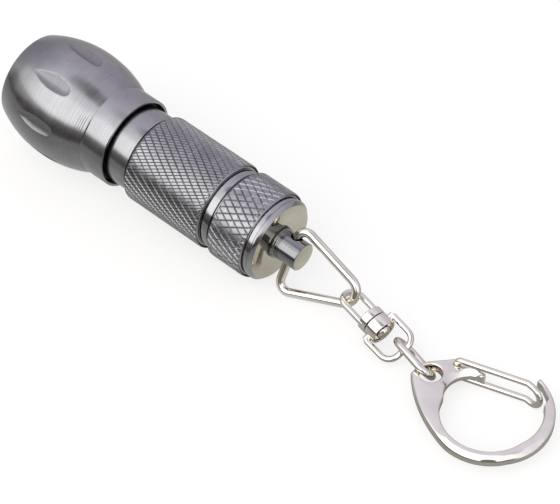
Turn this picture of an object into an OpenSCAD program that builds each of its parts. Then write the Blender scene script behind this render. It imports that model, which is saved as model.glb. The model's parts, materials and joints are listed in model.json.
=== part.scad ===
// Keychain flashlight lying on a table, with its ring, swivel, link and snap clip.
// Millimetres. +Z is up, the table is z = 0, and the light points towards -X.

/* [Head] */
// Largest diameter of the head
head_d = 20.2; // [19:0.1:24]
// Distance from the front rim back to the largest diameter
head_peak = 9.6; // [8:0.1:11]
// Diameter of the front rim
rim_d = 15.6; // [15:0.1:17]
// Length of the swelling part, from the front rim to the collar
bulb_len = 18.4; // [15.5:0.1:20]
// Diameter where the swelling ends at the collar
bulb_end_d = 16.3; // [16.1:0.1:18.4]
// Outside diameter of the collar
collar_d = 16; // [15.8:0.1:16.5]
// Length of the collar
collar_len = 4.7; // [4.2:0.1:8]
// Number of flutes round the head
flutes = 8; // [6:1:10]
// Radius of the cutter that makes a flute
flute_r = 2.7; // [1.2:0.1:3.4]
// Depth of a flute's rear end below the largest diameter
flute_depth = 0.5; // [0.4:0.05:1.2]
// Station of the round rear end of a flute
flute_rear = 12.5; // [11.5:0.1:13.4]
// Rise of the flute's floor towards the front, in degrees
flute_rise = 0.6; // [0.2:0.1:5]
// Turn of the first flute about the light's axis
flute_turn = 30.4; // [0:0.1:60]
// Front opening of the head
window_d = 11.8; // [10:0.1:12.4]
// Thickness of the lip in front of the lens
lip_t = 1.2; // [0.8:0.1:2]
// Bore of the head, which holds the lamp module
head_bore_d = 13.5; // [13.3:0.05:13.6]

/* [Lamp module] */
// Thickness of the rubber gasket in front of the lens
gasket_t = 0.5; // [0.3:0.05:0.8]
// Width of the gasket's band
gasket_w = 0.8; // [0.6:0.05:1]
// Thickness of the lens
lens_t = 1.5; // [1:0.1:2]
// Length of the reflector
reflector_len = 8; // [7:0.1:9]
// Wall of the reflector
reflector_wall = 0.8; // [0.5:0.05:1.1]
// Diameter of the round lamp
led_d = 5; // [4.8:0.1:5.2]
// Length of the lamp from its flange to its tip
led_len = 8.6; // [8:0.1:9]
// Thickness of the circuit board
board_t = 1.2; // [0.8:0.1:1.6]
// Length of the spacer between the reflector and the board
holder_len = 4.1; // [3.5:0.1:5]
// Height of the front contact behind the board
contact_h = 0.8; // [0.6:0.05:1.2]

/* [Barrel] */
// Diameter over the knurl
knurl_d = 15.5; // [15.2:0.1:17]
// Diameter of the smooth neck
neck_d = 13.95; // [13.9:0.05:14.3]
// Length of neck that shows behind the collar
neck_show = 4.85; // [3.5:0.05:7]
// Length of the knurled grip on the barrel
grip_len = 15.6; // [15.5:0.05:22]
// Bevel at the ends of a knurl
knurl_bevel = 0.35; // [0.1:0.05:0.6]
// Bore of the barrel
barrel_bore_d = 12.2; // [12.1:0.02:12.3]
// Diameter of the thread at the front of the barrel
front_thread_d = 13.5; // [13.4:0.02:13.6]
// How far the head stands unscrewed in the photograph
head_gap = 0.65; // [0.5:0.05:1]
// Section diameter of the neck seal
neck_seal_d = 1; // [0.8:0.05:1.1]

/* [Cells] */
// Diameter of an LR44 cell
cell_d = 11.6; // [11.4:0.05:11.6]
// Height of an LR44 cell
cell_h = 5.4; // [5.2:0.05:5.4]
// Number of cells
cells = 4; // [4:1:4]
// Wall of the insulating sleeve
sleeve_t = 0.2; // [0.1:0.02:0.22]

/* [Tail cap] */
// Diameter of the plain ring in front of the cap's knurl
cap_ring_d = 14.1; // [13.9:0.05:14.8]
// Length of that ring
cap_ring_len = 2.4; // [1.5:0.1:4]
// Length of the cap's knurl
cap_grip_len = 6.65; // [5:0.05:10]
// Diameter of the plain ring behind the cap's knurl
end_ring_d = 14.36; // [14:0.02:14.8]
// Length of the end ring up to the tail face
end_ring_len = 1.93; // [1.4:0.01:3]
// Bevel round the tail face
face_bevel = 0.5; // [0.2:0.05:0.8]
// Thickness of the end wall of the cap
cap_wall = 4.3; // [3.8:0.1:5.5]
// Length of the threaded spigot
spigot_len = 3.6; // [3.2:0.1:3.8]
// Diameter of the threaded spigot
spigot_d = 13.5; // [13.4:0.02:13.6]
// Bore of the cap
cap_bore_d = 10.6; // [10.2:0.05:10.8]
// Wall between the spigot's wide mouth and the groove of the tail seal
seal_web = 0.45; // [0.3:0.05:0.8]
// Section diameter of the tail seal
tail_seal_d = 0.8; // [0.6:0.05:0.9]
// Wire of the tail spring
spring_wire = 0.7; // [0.5:0.05:0.9]
// Outside diameter of the tail spring
spring_d = 8.7; // [7.5:0.1:9.6]
// Turns of the tail spring
spring_turns = 7; // [5:1:8]

/* [Lanyard post] */
// Diameter of the post
post_d = 4.84; // [4.4:0.02:5.4]
// Length of the post from the tail face
post_len = 4.81; // [4.4:0.01:6]
// Diameter of the flange at the foot of the post
post_flange_d = 5.5; // [5.2:0.05:6.5]
// Thickness of that flange
post_flange_t = 0.5; // [0.3:0.05:0.8]
// Diameter of the stem that holds the post in the cap
post_stem_d = 3.2; // [2.6:0.05:3.6]
// Length of the stem
post_stem_len = 3.3; // [2.4:0.1:3.6]
// Distance of the cross hole from the tail face
hole_set = 2.53; // [2.2:0.01:3]
// Diameter of the cross hole
hole_d = 2.1; // [2:0.02:2.3]
// Turn of the cross hole about the light's axis
hole_turn = 63.5; // [50:0.5:75]

/* [Tail ring] */
// Wire of the triangular ring
ring_wire = 1.5; // [1.3:0.05:1.6]
// Width of the triangle at its base, between the sharp corners
ring_base = 12.2; // [11.6:0.1:15]
// Height of the triangle, to its sharp corner
ring_height = 17; // [15:0.01:22]
// Bend radius of the two base corners
ring_corner_r = 1.6; // [1.3:0.05:2]
// Bend radius of the far corner
ring_apex_r = 2.3; // [2:0.05:2.8]
// How far the ring has slid along the hole
ring_slid = 1.42; // [1.2:0.02:1.6]
// Swing of the ring in the hole, in the photograph
ring_swing = 7.8; // [-20:0.1:20]

/* [Swivel] */
// Where the eye hooks round the ring's far bend, in degrees from its middle
hook_angle = 20; // [10:1:45]
// Gap between the eye and the wire of the ring
hook_gap = 0.35; // [0.1:0.05:0.6]
// Width of the bars of the eye and the bow
bar_w = 0.95; // [0.7:0.05:1.4]
// Height of the bars of the eye and the bow
bar_h = 1; // [0.7:0.05:1.6]
// Outside width of the eye
eye_w = 4.6; // [4:0.1:5.2]
// Length from the middle of the eye's end bar to the face of its disc
eye_len = 6.7; // [6.2:0.1:9]
// Diameter of the swivel's two discs
disc_d = 4.5; // [4.4:0.05:5]
// Thickness of the disc on the eye
eye_disc_t = 1.4; // [1:0.05:1.8]
// Thickness of the disc on the bow
bow_disc_t = 1.6; // [1.4:0.05:2.2]
// Gap between the two discs
disc_gap = 0.15; // [0.08:0.01:0.3]
// Diameter of the rivet's shank
rivet_d = 1.6; // [1.3:0.05:1.8]
// Diameter of the rivet's head
rivet_head_d = 2.5; // [2.2:0.05:2.8]
// Height of the rivet's head
rivet_head_h = 1.75; // [1:0.05:1.8]
// Depth of the recess round the rivet's head
recess_depth = 0.6; // [0.4:0.05:0.9]
// Outside width of the bow
bow_w = 6.6; // [6.6:0.1:9]
// Outside width of the bow at its shoulders
bow_shoulder_w = 6; // [5.6:0.1:6.6]
// Length of the bow
bow_len = 6.95; // [6.5:0.05:10]
// Bend radius of the bow's two corners
bow_bend_r = 1.9; // [1.4:0.1:2.2]
// Heading of the swivel on the table, in degrees
swivel_yaw = -9; // [-20:0.5:10]
// Roll of the eye about the swivel's axis
eye_roll = -10; // [-30:1:30]
// Roll of the bow about the swivel's axis
bow_roll = 24; // [10:1:30]

/* [Link] */
// Wire of the oval link
link_wire = 1.2; // [1:0.05:1.25]
// Length of the link
link_len = 9.4; // [8.8:0.1:12]
// Width of the link
link_w = 5.4; // [5.2:0.05:6.5]
// Heading of the link on the table, in degrees
link_yaw = -17; // [-25:0.5:0]
// Lean of the link from upright, towards -Y
link_lean = 37; // [30:0.5:42]

/* [Clip] */
// Thickness of the clip frame
clip_t = 1.8; // [1.6:0.05:1.9]
// Inside diameter of the hook
hook_d = 14.5; // [13.5:0.1:18]
// Width of the hook's band
band_w = 1.7; // [1.6:0.05:2.2]
// Round on the outer edges of the hook's band
band_round = 0.8; // [0.2:0.05:0.8]
// Round on the inner edges of the hook's band
band_in_round = 0.3; // [0.1:0.05:0.5]
// How far the nose stands out from the band's circle at its tip
nose_lift = 1.95; // [1.2:0.05:2.4]
// Diameter of the hole for the link
eyelet_d = 3.6; // [3.4:0.05:4]
// Metal round that hole
eyelet_rim = 0.6; // [0.6:0.05:1]
// Distance from the hole to the centre of the hook
eyelet_reach = 11.4; // [11:0.1:14]
// Heading of the clip on the table, in degrees
clip_yaw = -3; // [-15:0.5:15]
// Wire of the gate
gate_wire = 1; // [0.8:0.05:1.1]
// Gap between the gate's legs and the frame
gate_gap = 0.4; // [0.2:0.05:0.45]
// Angle the gate opens
gate_open = 26; // [15:1:30]

/* [Fits] */
// Clearance on the radius of running fits and threads
run_fit = 0.05; // [0.03:0.01:0.06]
// Clearance at faces that only rest on each other
face_fit = 0.02; // [0.01:0.01:0.05]

/* [Hidden] */
$fn = 96;

// Stations along the light's axis, counted from the front rim
collar_end = bulb_len + collar_len;
grip_start = collar_end + neck_show;
barrel_end = grip_start + grip_len;
cap_grip_start = barrel_end + cap_ring_len;
cap_grip_end = cap_grip_start + cap_grip_len;
face_at = cap_grip_end + end_ring_len;
post_end = face_at + post_len;
hole_at = face_at + hole_set;

// Lamp module stations, from the lens back to the contact
lens_at = lip_t + gasket_t;
reflector_at = lens_at + lens_t;
holder_at = reflector_at + reflector_len;
board_at = holder_at + holder_len;
board_back = board_at + board_t;
module_r = head_bore_d / 2 - run_fit;
contact_end = board_back + contact_h;
barrel_front = board_back + head_gap;

// Cells, spring and thread stations
cells_at = contact_end + face_fit;
cells_end = cells_at + cells * cell_h;
cap_thread_at = barrel_end - spigot_len - 0.3;
cap_floor = face_at - cap_wall;

// Cells and a bore too tight for them meet half-way
cell_squeeze = max(0, cell_d / 2 + sleeve_t + 2 * run_fit - barrel_bore_d / 2);
tube_bore_r = barrel_bore_d / 2 + cell_squeeze / 2;
can_r = cell_d / 2 - cell_squeeze / 2;

// Turned radii: each stays at least a thin wall outside the one within it
thread_wall = 0.5;
neck_step = 0.2;
collar_wall = 0.4;
cap_step = 0.2;
grip_wall = 0.15;
front_thread_r = max(front_thread_d / 2, tube_bore_r + thread_wall);
neck_r = max(neck_d / 2, front_thread_r + neck_step);
spigot_r = max(spigot_d / 2, tube_bore_r + thread_wall);
cap_ring_r = max(cap_ring_d / 2, spigot_r + cap_step);
grip_r = max(knurl_d / 2, spigot_r + run_fit + grip_wall);

// Seal grooves
seal_r = neck_seal_d / 2;
neck_seal_at = collar_end - 1.5;
neck_groove_r = neck_r - 0.5;
counterbore_r = neck_groove_r + neck_seal_d + run_fit;
collar_r = max(collar_d / 2, counterbore_r + collar_wall);
counterbore_len = 3.4;
neck_from = collar_end - counterbore_len + head_gap + 0.1;
tail_seal_r = tail_seal_d / 2;
tail_seal_at = barrel_end - 0.9;
tail_groove_r = spigot_r + run_fit - tail_seal_d - 0.02;

// Bevel at the ends of a knurl, no deeper than half the wall over the spigot
grip_bevel = min(knurl_bevel, (grip_r - spigot_r - run_fit) / 2);

// The light lies on its largest diameter and on the rear edge of the cap's knurl
rest_tilt = asin((head_d / 2 - grip_r) / (cap_grip_end - grip_bevel - head_peak));
bulge = 0.06;
axis_dir = [cos(rest_tilt), 0, -sin(rest_tilt)];
axis_up = [sin(rest_tilt), 0, cos(rest_tilt)];
front_pos = [0, 0, head_d / 2 * cos(rest_tilt) + head_peak * sin(rest_tilt) + bulge];
function axis_pos(station) = front_pos + station * axis_dir;

// The tail ring hangs in the cross hole: directions along the hole and along the ring's middle
hole_dir = cos(hole_turn) * [0, 1, 0] + sin(hole_turn) * axis_up;
side_dir = sin(hole_turn) * [0, 1, 0] - cos(hole_turn) * axis_up;
ring_dir = cos(ring_swing) * axis_dir + sin(ring_swing) * side_dir;
ring_half_angle = atan(ring_base / 2 / ring_height);
apex_centre = ring_height - ring_apex_r / sin(ring_half_angle);
ring_base_pos = axis_pos(hole_at) - ring_slid * hole_dir;
hook_out = cos(hook_angle) * ring_dir - sin(hook_angle) * hole_dir;
wire_pos = ring_base_pos + apex_centre * ring_dir + ring_apex_r * hook_out;

// The swivel slopes from the ring's wire down to the link
link_r = link_wire / 2;
link_half_w = (link_w - link_wire) / 2;
link_z = link_r + link_half_w * cos(link_lean);
eye_r = (eye_w - bar_w) / 2;
bow_r = (bow_w - bar_w) / 2;
bow_at = eye_len + disc_gap;
end_bar_at = bow_at + bow_len - bar_w / 2;
hook_reach = ring_wire / 2 + hook_gap + bar_w / 2;
end_bar_z = link_z - 0.2;
swivel_drop = asin((wire_pos[2] - end_bar_z) / (end_bar_at - hook_reach));
swivel_dir = [
    cos(swivel_drop) * cos(swivel_yaw),
    cos(swivel_drop) * sin(swivel_yaw),
    -sin(swivel_drop)
];
eye_pos = wire_pos - hook_reach * swivel_dir;
end_bar_pos = eye_pos + end_bar_at * swivel_dir;

// The link lies across the bow's end bar and through the clip's hole
link_dir = [cos(link_yaw), sin(link_yaw), 0];
link_across = [-sin(link_yaw), cos(link_yaw), 0];
link_back = 1.8;
link_side = 0.7;
link_end = (link_len - link_wire) / 2;
link_pos = [end_bar_pos[0], end_bar_pos[1], link_z]
    + (link_end - link_back) * link_dir + link_side * link_across;

// The clip lies flat on its gate wire, with the link's end inside its hole
eyelet_lead = 0.12;
clip_z = gate_wire + gate_gap + clip_t / 2;
eyelet_pos = [link_pos[0], link_pos[1], clip_z] + (link_end + eyelet_lead) * link_dir;
hook_r = hook_d / 2;
band_r = hook_r + band_w;
leg_z = clip_t / 2 + gate_gap + gate_wire / 2;

// The middle of the whole object on the table
hook_centre = eyelet_pos + eyelet_reach * [cos(clip_yaw), sin(clip_yaw), 0];
front_x = rim_d / 2 * -sin(rest_tilt);
mid_x = (front_x + hook_centre[0] + band_r + 0.3 * nose_lift) / 2;
mid_y = (min(-head_d / 2, hook_centre[1] - band_r) + head_d / 2) / 2;

// Points of an arc round a centre
function arc(centre, r, from, to, steps = 12) = [
    for (i = [0 : steps])
        let (a = from + (to - from) * i / steps)
        centre + r * [cos(a), sin(a)]
];

// Moves a piece from the light's own axis to where the light lies
module on_axis() {
    translate([-mid_x, -mid_y, 0])
        translate(front_pos)
            rotate([0, 90 + rest_tilt, 0])
                children();
}

// Moves a piece to the tail ring's frame: Y along the hole, Z along the ring's middle
module on_ring() {
    on_axis()
        translate([0, 0, hole_at])
            rotate([0, 0, hole_turn])
                rotate([0, ring_swing, 0])
                    children();
}

// Moves a piece to the swivel's frame: X along the swivel, rolled about it
module on_swivel(roll) {
    translate([-mid_x, -mid_y, 0])
        translate(eye_pos)
            rotate([roll, swivel_drop, swivel_yaw])
                children();
}

// Moves a piece to the clip's frame: X from the link's hole to the hook's centre
module on_clip() {
    translate([-mid_x, -mid_y, 0])
        translate(hook_centre)
            rotate([0, 0, clip_yaw])
                children();
}

// A turned piece from half its section, as radius and station
module turned(points) {
    rotate_extrude()
        polygon(points);
}

// A plain ring between two stations
module tube(outer_r, inner_r, from, to) {
    turned([[inner_r, from], [outer_r, from], [outer_r, to], [inner_r, to]]);
}

// A rubber ring of round section
module seal(middle_r, section_r, station) {
    translate([0, 0, station])
        rotate_extrude()
            translate([middle_r, 0])
                circle(section_r, $fn = 32);
}

// One tube swept along a path; across is a direction that the path never takes
function unit(v) = v / norm(v);
function heading(path, i, closed) =
    let (n = len(path))
    let (before = closed ? path[(i + n - 1) % n] : path[max(i - 1, 0)])
    let (after = closed ? path[(i + 1) % n] : path[min(i + 1, n - 1)])
    let (come = before == path[i] ? unit(after - path[i]) : unit(path[i] - before))
    let (go = after == path[i] ? come : unit(after - path[i]))
    unit(come + go);

module swept(path, r, across, sides, closed = false) {
    n = len(path);
    points = [
        for (i = [0 : n - 1])
            let (along = heading(path, i, closed))
            let (b = unit(across - (across * along) * along))
            let (c = cross(along, b))
            for (s = [0 : sides - 1])
                path[i] + r * (cos(360 * s / sides) * b + sin(360 * s / sides) * c)
    ];
    walls = [
        for (i = [0 : closed ? n - 1 : n - 2], s = [0 : sides - 1])
            let (next = ((i + 1) % n) * sides)
            let (side = (s + 1) % sides)
            each [
                [i * sides + s, next + s, i * sides + side],
                [i * sides + side, next + s, next + side]
            ]
    ];
    last = (n - 1) * sides;
    ends = closed ? [] : [
        for (s = [1 : sides - 2])
            each [[0, s, s + 1], [last, last + s + 1, last + s]]
    ];
    polyhedron(points, concat(walls, ends));
}

// Radius of a circle through the top of a bulge and a lower point
function bulge_r(run, drop) = (run * run + drop * drop) / (2 * drop);

// Half the outline of the swelling part of the head
function bulb_points() =
    let (peak_r = head_d / 2)
    let (front_r = bulge_r(head_peak, peak_r - rim_d / 2))
    let (rear_run = bulb_len - head_peak)
    let (rear_r = bulge_r(rear_run, peak_r - bulb_end_d / 2))
    let (front_a = asin(head_peak / front_r))
    let (rear_a = asin(rear_run / rear_r))
    concat(
        arc([peak_r - front_r, head_peak], front_r, -front_a, 0, 24),
        arc([peak_r - rear_r, head_peak], rear_r, 0, rear_a, 16)
    );

// One flute: a round-nosed cutter that rises out of the surface towards the front
module flute() {
    translate([head_d / 2 - flute_depth + flute_r, 0, flute_rear])
        rotate([0, -flute_rise, 0]) {
            sphere(flute_r, $fn = 48);
            translate([0, 0, -flute_rear])
                cylinder(r = flute_r, h = flute_rear, $fn = 48);
        }
}

module head_shell() {
    bore_r = head_bore_d / 2;
    thread_r = front_thread_r + run_fit;
    color("slategray")
        on_axis()
            difference() {
                turned(concat(
                    [[window_d / 2, 0]],
                    bulb_points(),
                    [[collar_r, bulb_len],
                     [collar_r, collar_end],
                     [counterbore_r, collar_end],
                     [counterbore_r, collar_end - counterbore_len],
                     [thread_r, collar_end - counterbore_len],
                     [thread_r, board_back],
                     [bore_r, board_back],
                     [bore_r, lip_t],
                     [window_d / 2, lip_t]]
                ));
                for (i = [0 : flutes - 1])
                    rotate([0, 0, flute_turn + i * 360 / flutes])
                        flute();
            }
}

module lens_gasket() {
    color("black")
        on_axis()
            tube(module_r, module_r - gasket_w, lip_t, lens_at);
}

module lens() {
    color("aliceblue", 0.4)
        on_axis()
            translate([0, 0, lens_at])
                cylinder(r = module_r, h = lens_t);
}

// The reflector's inside is a parabola that opens from the lamp's hole to the lens
module reflector() {
    hole_r = led_d / 2 + run_fit;
    mouth_r = module_r - reflector_wall;
    steps = 12;
    color("gainsboro")
        on_axis()
            turned(concat(
                [for (i = [0 : steps])
                    let (r = hole_r + (mouth_r - hole_r) * i / steps)
                    let (rise = (r * r - hole_r * hole_r) / (mouth_r * mouth_r - hole_r * hole_r))
                    [r, holder_at - rise * reflector_len]],
                [[module_r, reflector_at],
                 [module_r, reflector_at + reflector_wall],
                 [hole_r + reflector_wall, holder_at]]
            ));
}

module led_holder() {
    pocket_r = module_r - 0.8;
    pocket_at = board_at - 1.6;
    color("white")
        on_axis()
            turned([
                [led_d / 2 + run_fit, holder_at],
                [module_r, holder_at],
                [module_r, board_at],
                [pocket_r, board_at],
                [pocket_r, pocket_at],
                [led_d / 2 + run_fit, pocket_at]
            ]);
}

// A round lamp with its flange and its two leads
module led() {
    dome_r = led_d / 2;
    flange_t = 1;
    flange_w = 0.4;
    lead_r = 0.25;
    color("lemonchiffon")
        on_axis() {
            turned(concat(
                [[0, board_at],
                 [dome_r + flange_w, board_at],
                 [dome_r + flange_w, board_at - flange_t],
                 [dome_r, board_at - flange_t]],
                [for (p = arc([0, 0], dome_r, 0, 90)) [p[0], board_at - led_len + dome_r - p[1]]]
            ));
            for (side = [-1, 1])
                translate([0, side * 1.27, board_at - face_fit])
                    cylinder(r = lead_r, h = board_t + face_fit, $fn = 24);
        }
}

module led_board() {
    lead_hole_r = 0.3;
    color("darkgreen")
        on_axis()
            difference() {
                translate([0, 0, board_at])
                    cylinder(r = module_r, h = board_t);
                for (side = [-1, 1])
                    translate([0, side * 1.27, board_at - 1])
                        cylinder(r = lead_hole_r, h = board_t + 2, $fn = 24);
            }
}

module resistor() {
    size = [1.2, 2, 0.6];
    from_middle = 4.4;
    color("black")
        on_axis()
            translate([from_middle - size[0] / 2, -size[1] / 2, board_at - size[2]])
                cube(size);
}

module front_contact() {
    contact_r = 2.2;
    color("gold")
        on_axis()
            turned([
                [0, board_back],
                [contact_r, board_back],
                [contact_r, board_back + contact_h / 2],
                [contact_r - contact_h / 2, contact_end],
                [0, contact_end]
            ]);
}

module barrel() {
    groove_half = seal_r + 0.1;
    color("gray")
        on_axis()
            turned([
                [tube_bore_r, barrel_front],
                [front_thread_r, barrel_front],
                [front_thread_r, neck_from],
                [neck_r, neck_from + 0.2],
                [neck_r, neck_seal_at - groove_half],
                [neck_groove_r, neck_seal_at - groove_half],
                [neck_groove_r, neck_seal_at + groove_half],
                [neck_r, neck_seal_at + groove_half],
                [neck_r, grip_start],
                [grip_r - grip_bevel, grip_start],
                [grip_r, grip_start + grip_bevel],
                [grip_r, barrel_end - grip_bevel],
                [grip_r - grip_bevel, barrel_end],
                [spigot_r + run_fit, barrel_end],
                [spigot_r + run_fit, cap_thread_at],
                [tube_bore_r, cap_thread_at]
            ]);
}

module neck_seal() {
    color("black")
        on_axis()
            seal(neck_groove_r + seal_r, seal_r, neck_seal_at);
}

module cell_sleeve() {
    sleeve_r = tube_bore_r - run_fit;
    color("whitesmoke")
        on_axis()
            tube(sleeve_r, sleeve_r - sleeve_t, cells_at, cells_end);
}

// A button cell: the can faces the head, the smaller cap faces the tail
module button_cell(index) {
    cap_r = can_r - 1;
    edge = 0.3;
    cap_h = 0.5;
    front = cells_at + index * cell_h;
    color("silver")
        on_axis()
            turned([
                [0, front],
                [can_r - edge, front],
                [can_r, front + edge],
                [can_r, front + cell_h - cap_h - edge],
                [can_r - edge, front + cell_h - cap_h],
                [cap_r, front + cell_h - cap_h],
                [cap_r - edge, front + cell_h],
                [0, front + cell_h]
            ]);
}

// The tail spring is one unbroken coil between the last cell and the cap's floor
spring_r = (spring_d - spring_wire) / 2;
spring_from = cells_end + spring_wire / 2 + face_fit;
spring_to = cap_floor - spring_wire / 2 - face_fit;
spring_steps = 8 * spring_turns;
echo(least_spring_gap = (spring_to - spring_from) / spring_turns - spring_wire);

module tail_spring() {
    path = [
        for (i = [0 : spring_steps])
            let (turn = 360 * spring_turns * i / spring_steps)
            let (z = spring_from + (spring_to - spring_from) * i / spring_steps)
            [spring_r * cos(turn), spring_r * sin(turn), z]
    ];
    color("silver")
        on_axis()
            swept(path, spring_wire / 2, [0, 0, 1], 6);
}

module tail_cap() {
    ring_r = cap_ring_r;
    end_r = end_ring_d / 2;
    bore_r = cap_bore_d / 2;
    groove_half = tail_seal_r + 0.06;
    mouth_r = tube_bore_r;
    mouth_to = tail_seal_at - groove_half - seal_web;
    spigot_at = barrel_end - spigot_len;
    color("gray")
        on_axis()
            difference() {
                turned([
                    [0, cap_floor],
                    [bore_r, cap_floor],
                    [bore_r, mouth_to],
                    [mouth_r, mouth_to],
                    [mouth_r, spigot_at],
                    [spigot_r, spigot_at],
                    [spigot_r, tail_seal_at - groove_half],
                    [tail_groove_r, tail_seal_at - groove_half],
                    [tail_groove_r, tail_seal_at + groove_half],
                    [spigot_r, tail_seal_at + groove_half],
                    [spigot_r, barrel_end + face_fit],
                    [ring_r, barrel_end + face_fit],
                    [ring_r, cap_grip_start],
                    [grip_r - grip_bevel, cap_grip_start],
                    [grip_r, cap_grip_start + grip_bevel],
                    [grip_r, cap_grip_end - grip_bevel],
                    [grip_r - grip_bevel, cap_grip_end],
                    [end_r, cap_grip_end],
                    [end_r, face_at - face_bevel],
                    [end_r - face_bevel, face_at],
                    [0, face_at]
                ]);
                translate([0, 0, face_at - post_stem_len])
                    cylinder(d = post_stem_d, h = post_stem_len + 1);
            }
}

module tail_seal() {
    color("black")
        on_axis()
            seal(tail_groove_r + tail_seal_r + 0.01, tail_seal_r, tail_seal_at);
}

// The drilled post: stem in the cap, flange on the tail face
module lanyard_post() {
    bevel = 0.2;
    post_r = post_d / 2;
    flange_r = post_flange_d / 2;
    color("dimgray")
        on_axis()
            difference() {
                turned([
                    [0, face_at - post_stem_len],
                    [post_stem_d / 2, face_at - post_stem_len],
                    [post_stem_d / 2, face_at],
                    [flange_r, face_at],
                    [flange_r, face_at + post_flange_t - bevel],
                    [flange_r - bevel, face_at + post_flange_t],
                    [post_r, face_at + post_flange_t],
                    [post_r, post_end - bevel],
                    [post_r - bevel, post_end],
                    [0, post_end]
                ]);
                translate([0, 0, hole_at])
                    rotate([0, 0, hole_turn])
                        rotate([90, 0, 0])
                            cylinder(d = hole_d, h = post_flange_d * 2, center = true, $fn = 48);
            }
}

// A straight piece of wire between two points
module rod(from, to, r) {
    run = to - from;
    translate(from)
        rotate([0, acos(run[2] / norm(run)), atan2(run[1], run[0])])
            cylinder(r = r, h = norm(run), $fn = 32);
}

// The triangular ring: one closed loop of wire with three bends
module tail_ring() {
    corner_y = ring_base / 2 - ring_corner_r / tan((90 - ring_half_angle) / 2);
    loop = concat(
        arc([corner_y, ring_corner_r], ring_corner_r, -90, ring_half_angle, 8),
        arc([0, apex_centre], ring_apex_r, ring_half_angle, 180 - ring_half_angle, 12),
        arc([-corner_y, ring_corner_r], ring_corner_r, 180 - ring_half_angle, 270, 8)
    );
    color("silver")
        on_ring()
            swept([for (p = loop) [0, p[0] - ring_slid, p[1]]], ring_wire / 2, [1, 0, 0], 16, true);
}

// Section of the swivel's bars: a rectangle with cut corners
module bar_section() {
    cut = 0.25;
    x = bar_w / 2;
    y = bar_h / 2;
    polygon([
        [x, y - cut], [x - cut, y], [-x + cut, y], [-x, y - cut],
        [-x, -y + cut], [-x + cut, -y], [x - cut, -y], [x, -y + cut]
    ]);
}

// A straight bar along X
module bar_run(from, to, y) {
    translate([from, y, 0])
        rotate([90, 0, 90])
            linear_extrude(to - from)
                bar_section();
}

// A bent bar in the XY plane
module bar_bend(centre, middle_r, from, to) {
    translate(centre)
        rotate([0, 0, from])
            rotate_extrude(angle = to - from)
                translate([middle_r, 0])
                    bar_section();
}

// The eye: a U-shaped loop on a disc, with a hole for the rivet's shank
module swivel_eye() {
    loop_at = eye_r;
    disc_at = eye_len - eye_disc_t;
    color("silver")
        on_swivel(eye_roll)
            difference() {
                union() {
                    bar_bend([loop_at, 0, 0], eye_r, 90, 270);
                    for (side = [-1, 1])
                        bar_run(loop_at, eye_len - eye_disc_t / 2, side * eye_r);
                    translate([disc_at, 0, 0])
                        rotate([0, 90, 0])
                            cylinder(d = disc_d, h = eye_disc_t);
                }
                translate([disc_at - 1, 0, 0])
                    rotate([0, 90, 0])
                        cylinder(d = rivet_d, h = eye_disc_t + 2, $fn = 48);
            }
}

// The rivet: its shank is fast in the eye, and its head holds the bow
module swivel_rivet() {
    head_at = bow_at + bow_disc_t - recess_depth + disc_gap;
    dome = 0.5;
    shank_r = rivet_d / 2;
    head_r = rivet_head_d / 2;
    color("silver")
        on_swivel(eye_roll)
            rotate([0, 90, 0])
                turned([
                    [0, eye_len - eye_disc_t],
                    [shank_r, eye_len - eye_disc_t],
                    [shank_r, head_at],
                    [head_r, head_at],
                    [head_r, head_at + rivet_head_h - dome],
                    [head_r - dome, head_at + rivet_head_h],
                    [0, head_at + rivet_head_h]
                ]);
}

// The bow: a stirrup on a disc that turns on the rivet
module swivel_bow() {
    bend_at = end_bar_at - bow_bend_r;
    recess_r = rivet_head_d / 2 + 0.4;
    inner_r = bow_r - bow_bend_r;
    shoulder_at = bow_at + bow_disc_t - bar_w / 2;
    shoulder_r = (bow_shoulder_w - bar_w) / 2;
    leg_splay = atan((bow_r - shoulder_r) / (bend_at - shoulder_at));
    leg_len = (bend_at - shoulder_at) / cos(leg_splay);
    color("silver")
        on_swivel(bow_roll)
            difference() {
                union() {
                    translate([bow_at, 0, 0])
                        rotate([0, 90, 0])
                            cylinder(d = disc_d, h = bow_disc_t);
                    translate([shoulder_at - bar_w / 2, -bow_shoulder_w / 2, -bar_h / 2])
                        cube([bar_w, bow_shoulder_w, bar_h]);
                    for (side = [-1, 1])
                        translate([bend_at, side * bow_r, 0])
                            rotate([0, 0, side * leg_splay])
                                bar_run(-leg_len, 0, 0);
                    bar_bend([bend_at, inner_r, 0], bow_bend_r, 0, 90);
                    bar_bend([bend_at, -inner_r, 0], bow_bend_r, -90, 0);
                    translate([end_bar_at, inner_r, 0])
                        rotate([90, 0, 0])
                            linear_extrude(inner_r * 2)
                                bar_section();
                }
                translate([bow_at - 1, 0, 0])
                    rotate([0, 90, 0])
                        cylinder(r = rivet_d / 2 + run_fit, h = bow_disc_t + 2, $fn = 48);
                translate([bow_at + bow_disc_t - recess_depth, 0, 0])
                    rotate([0, 90, 0])
                        cylinder(r = recess_r, h = recess_depth + 1, $fn = 64);
            }
}

// The oval link: two straight runs and two round ends
module oval_link() {
    half = link_end - link_half_w;
    color("silver")
        translate([-mid_x, -mid_y, 0])
            translate(link_pos)
                rotate([link_lean, 0, link_yaw])
                    for (side = [-1, 1]) {
                        rod([-half, 0, side * link_half_w], [half, 0, side * link_half_w], link_r);
                        translate([side * half, 0, 0])
                            rotate([90, 0, 0])
                                rotate([0, 0, side * 90 - 180])
                                    rotate_extrude(angle = 180)
                                        translate([link_half_w, 0])
                                            circle(link_r, $fn = 32);
                    }
}

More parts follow.
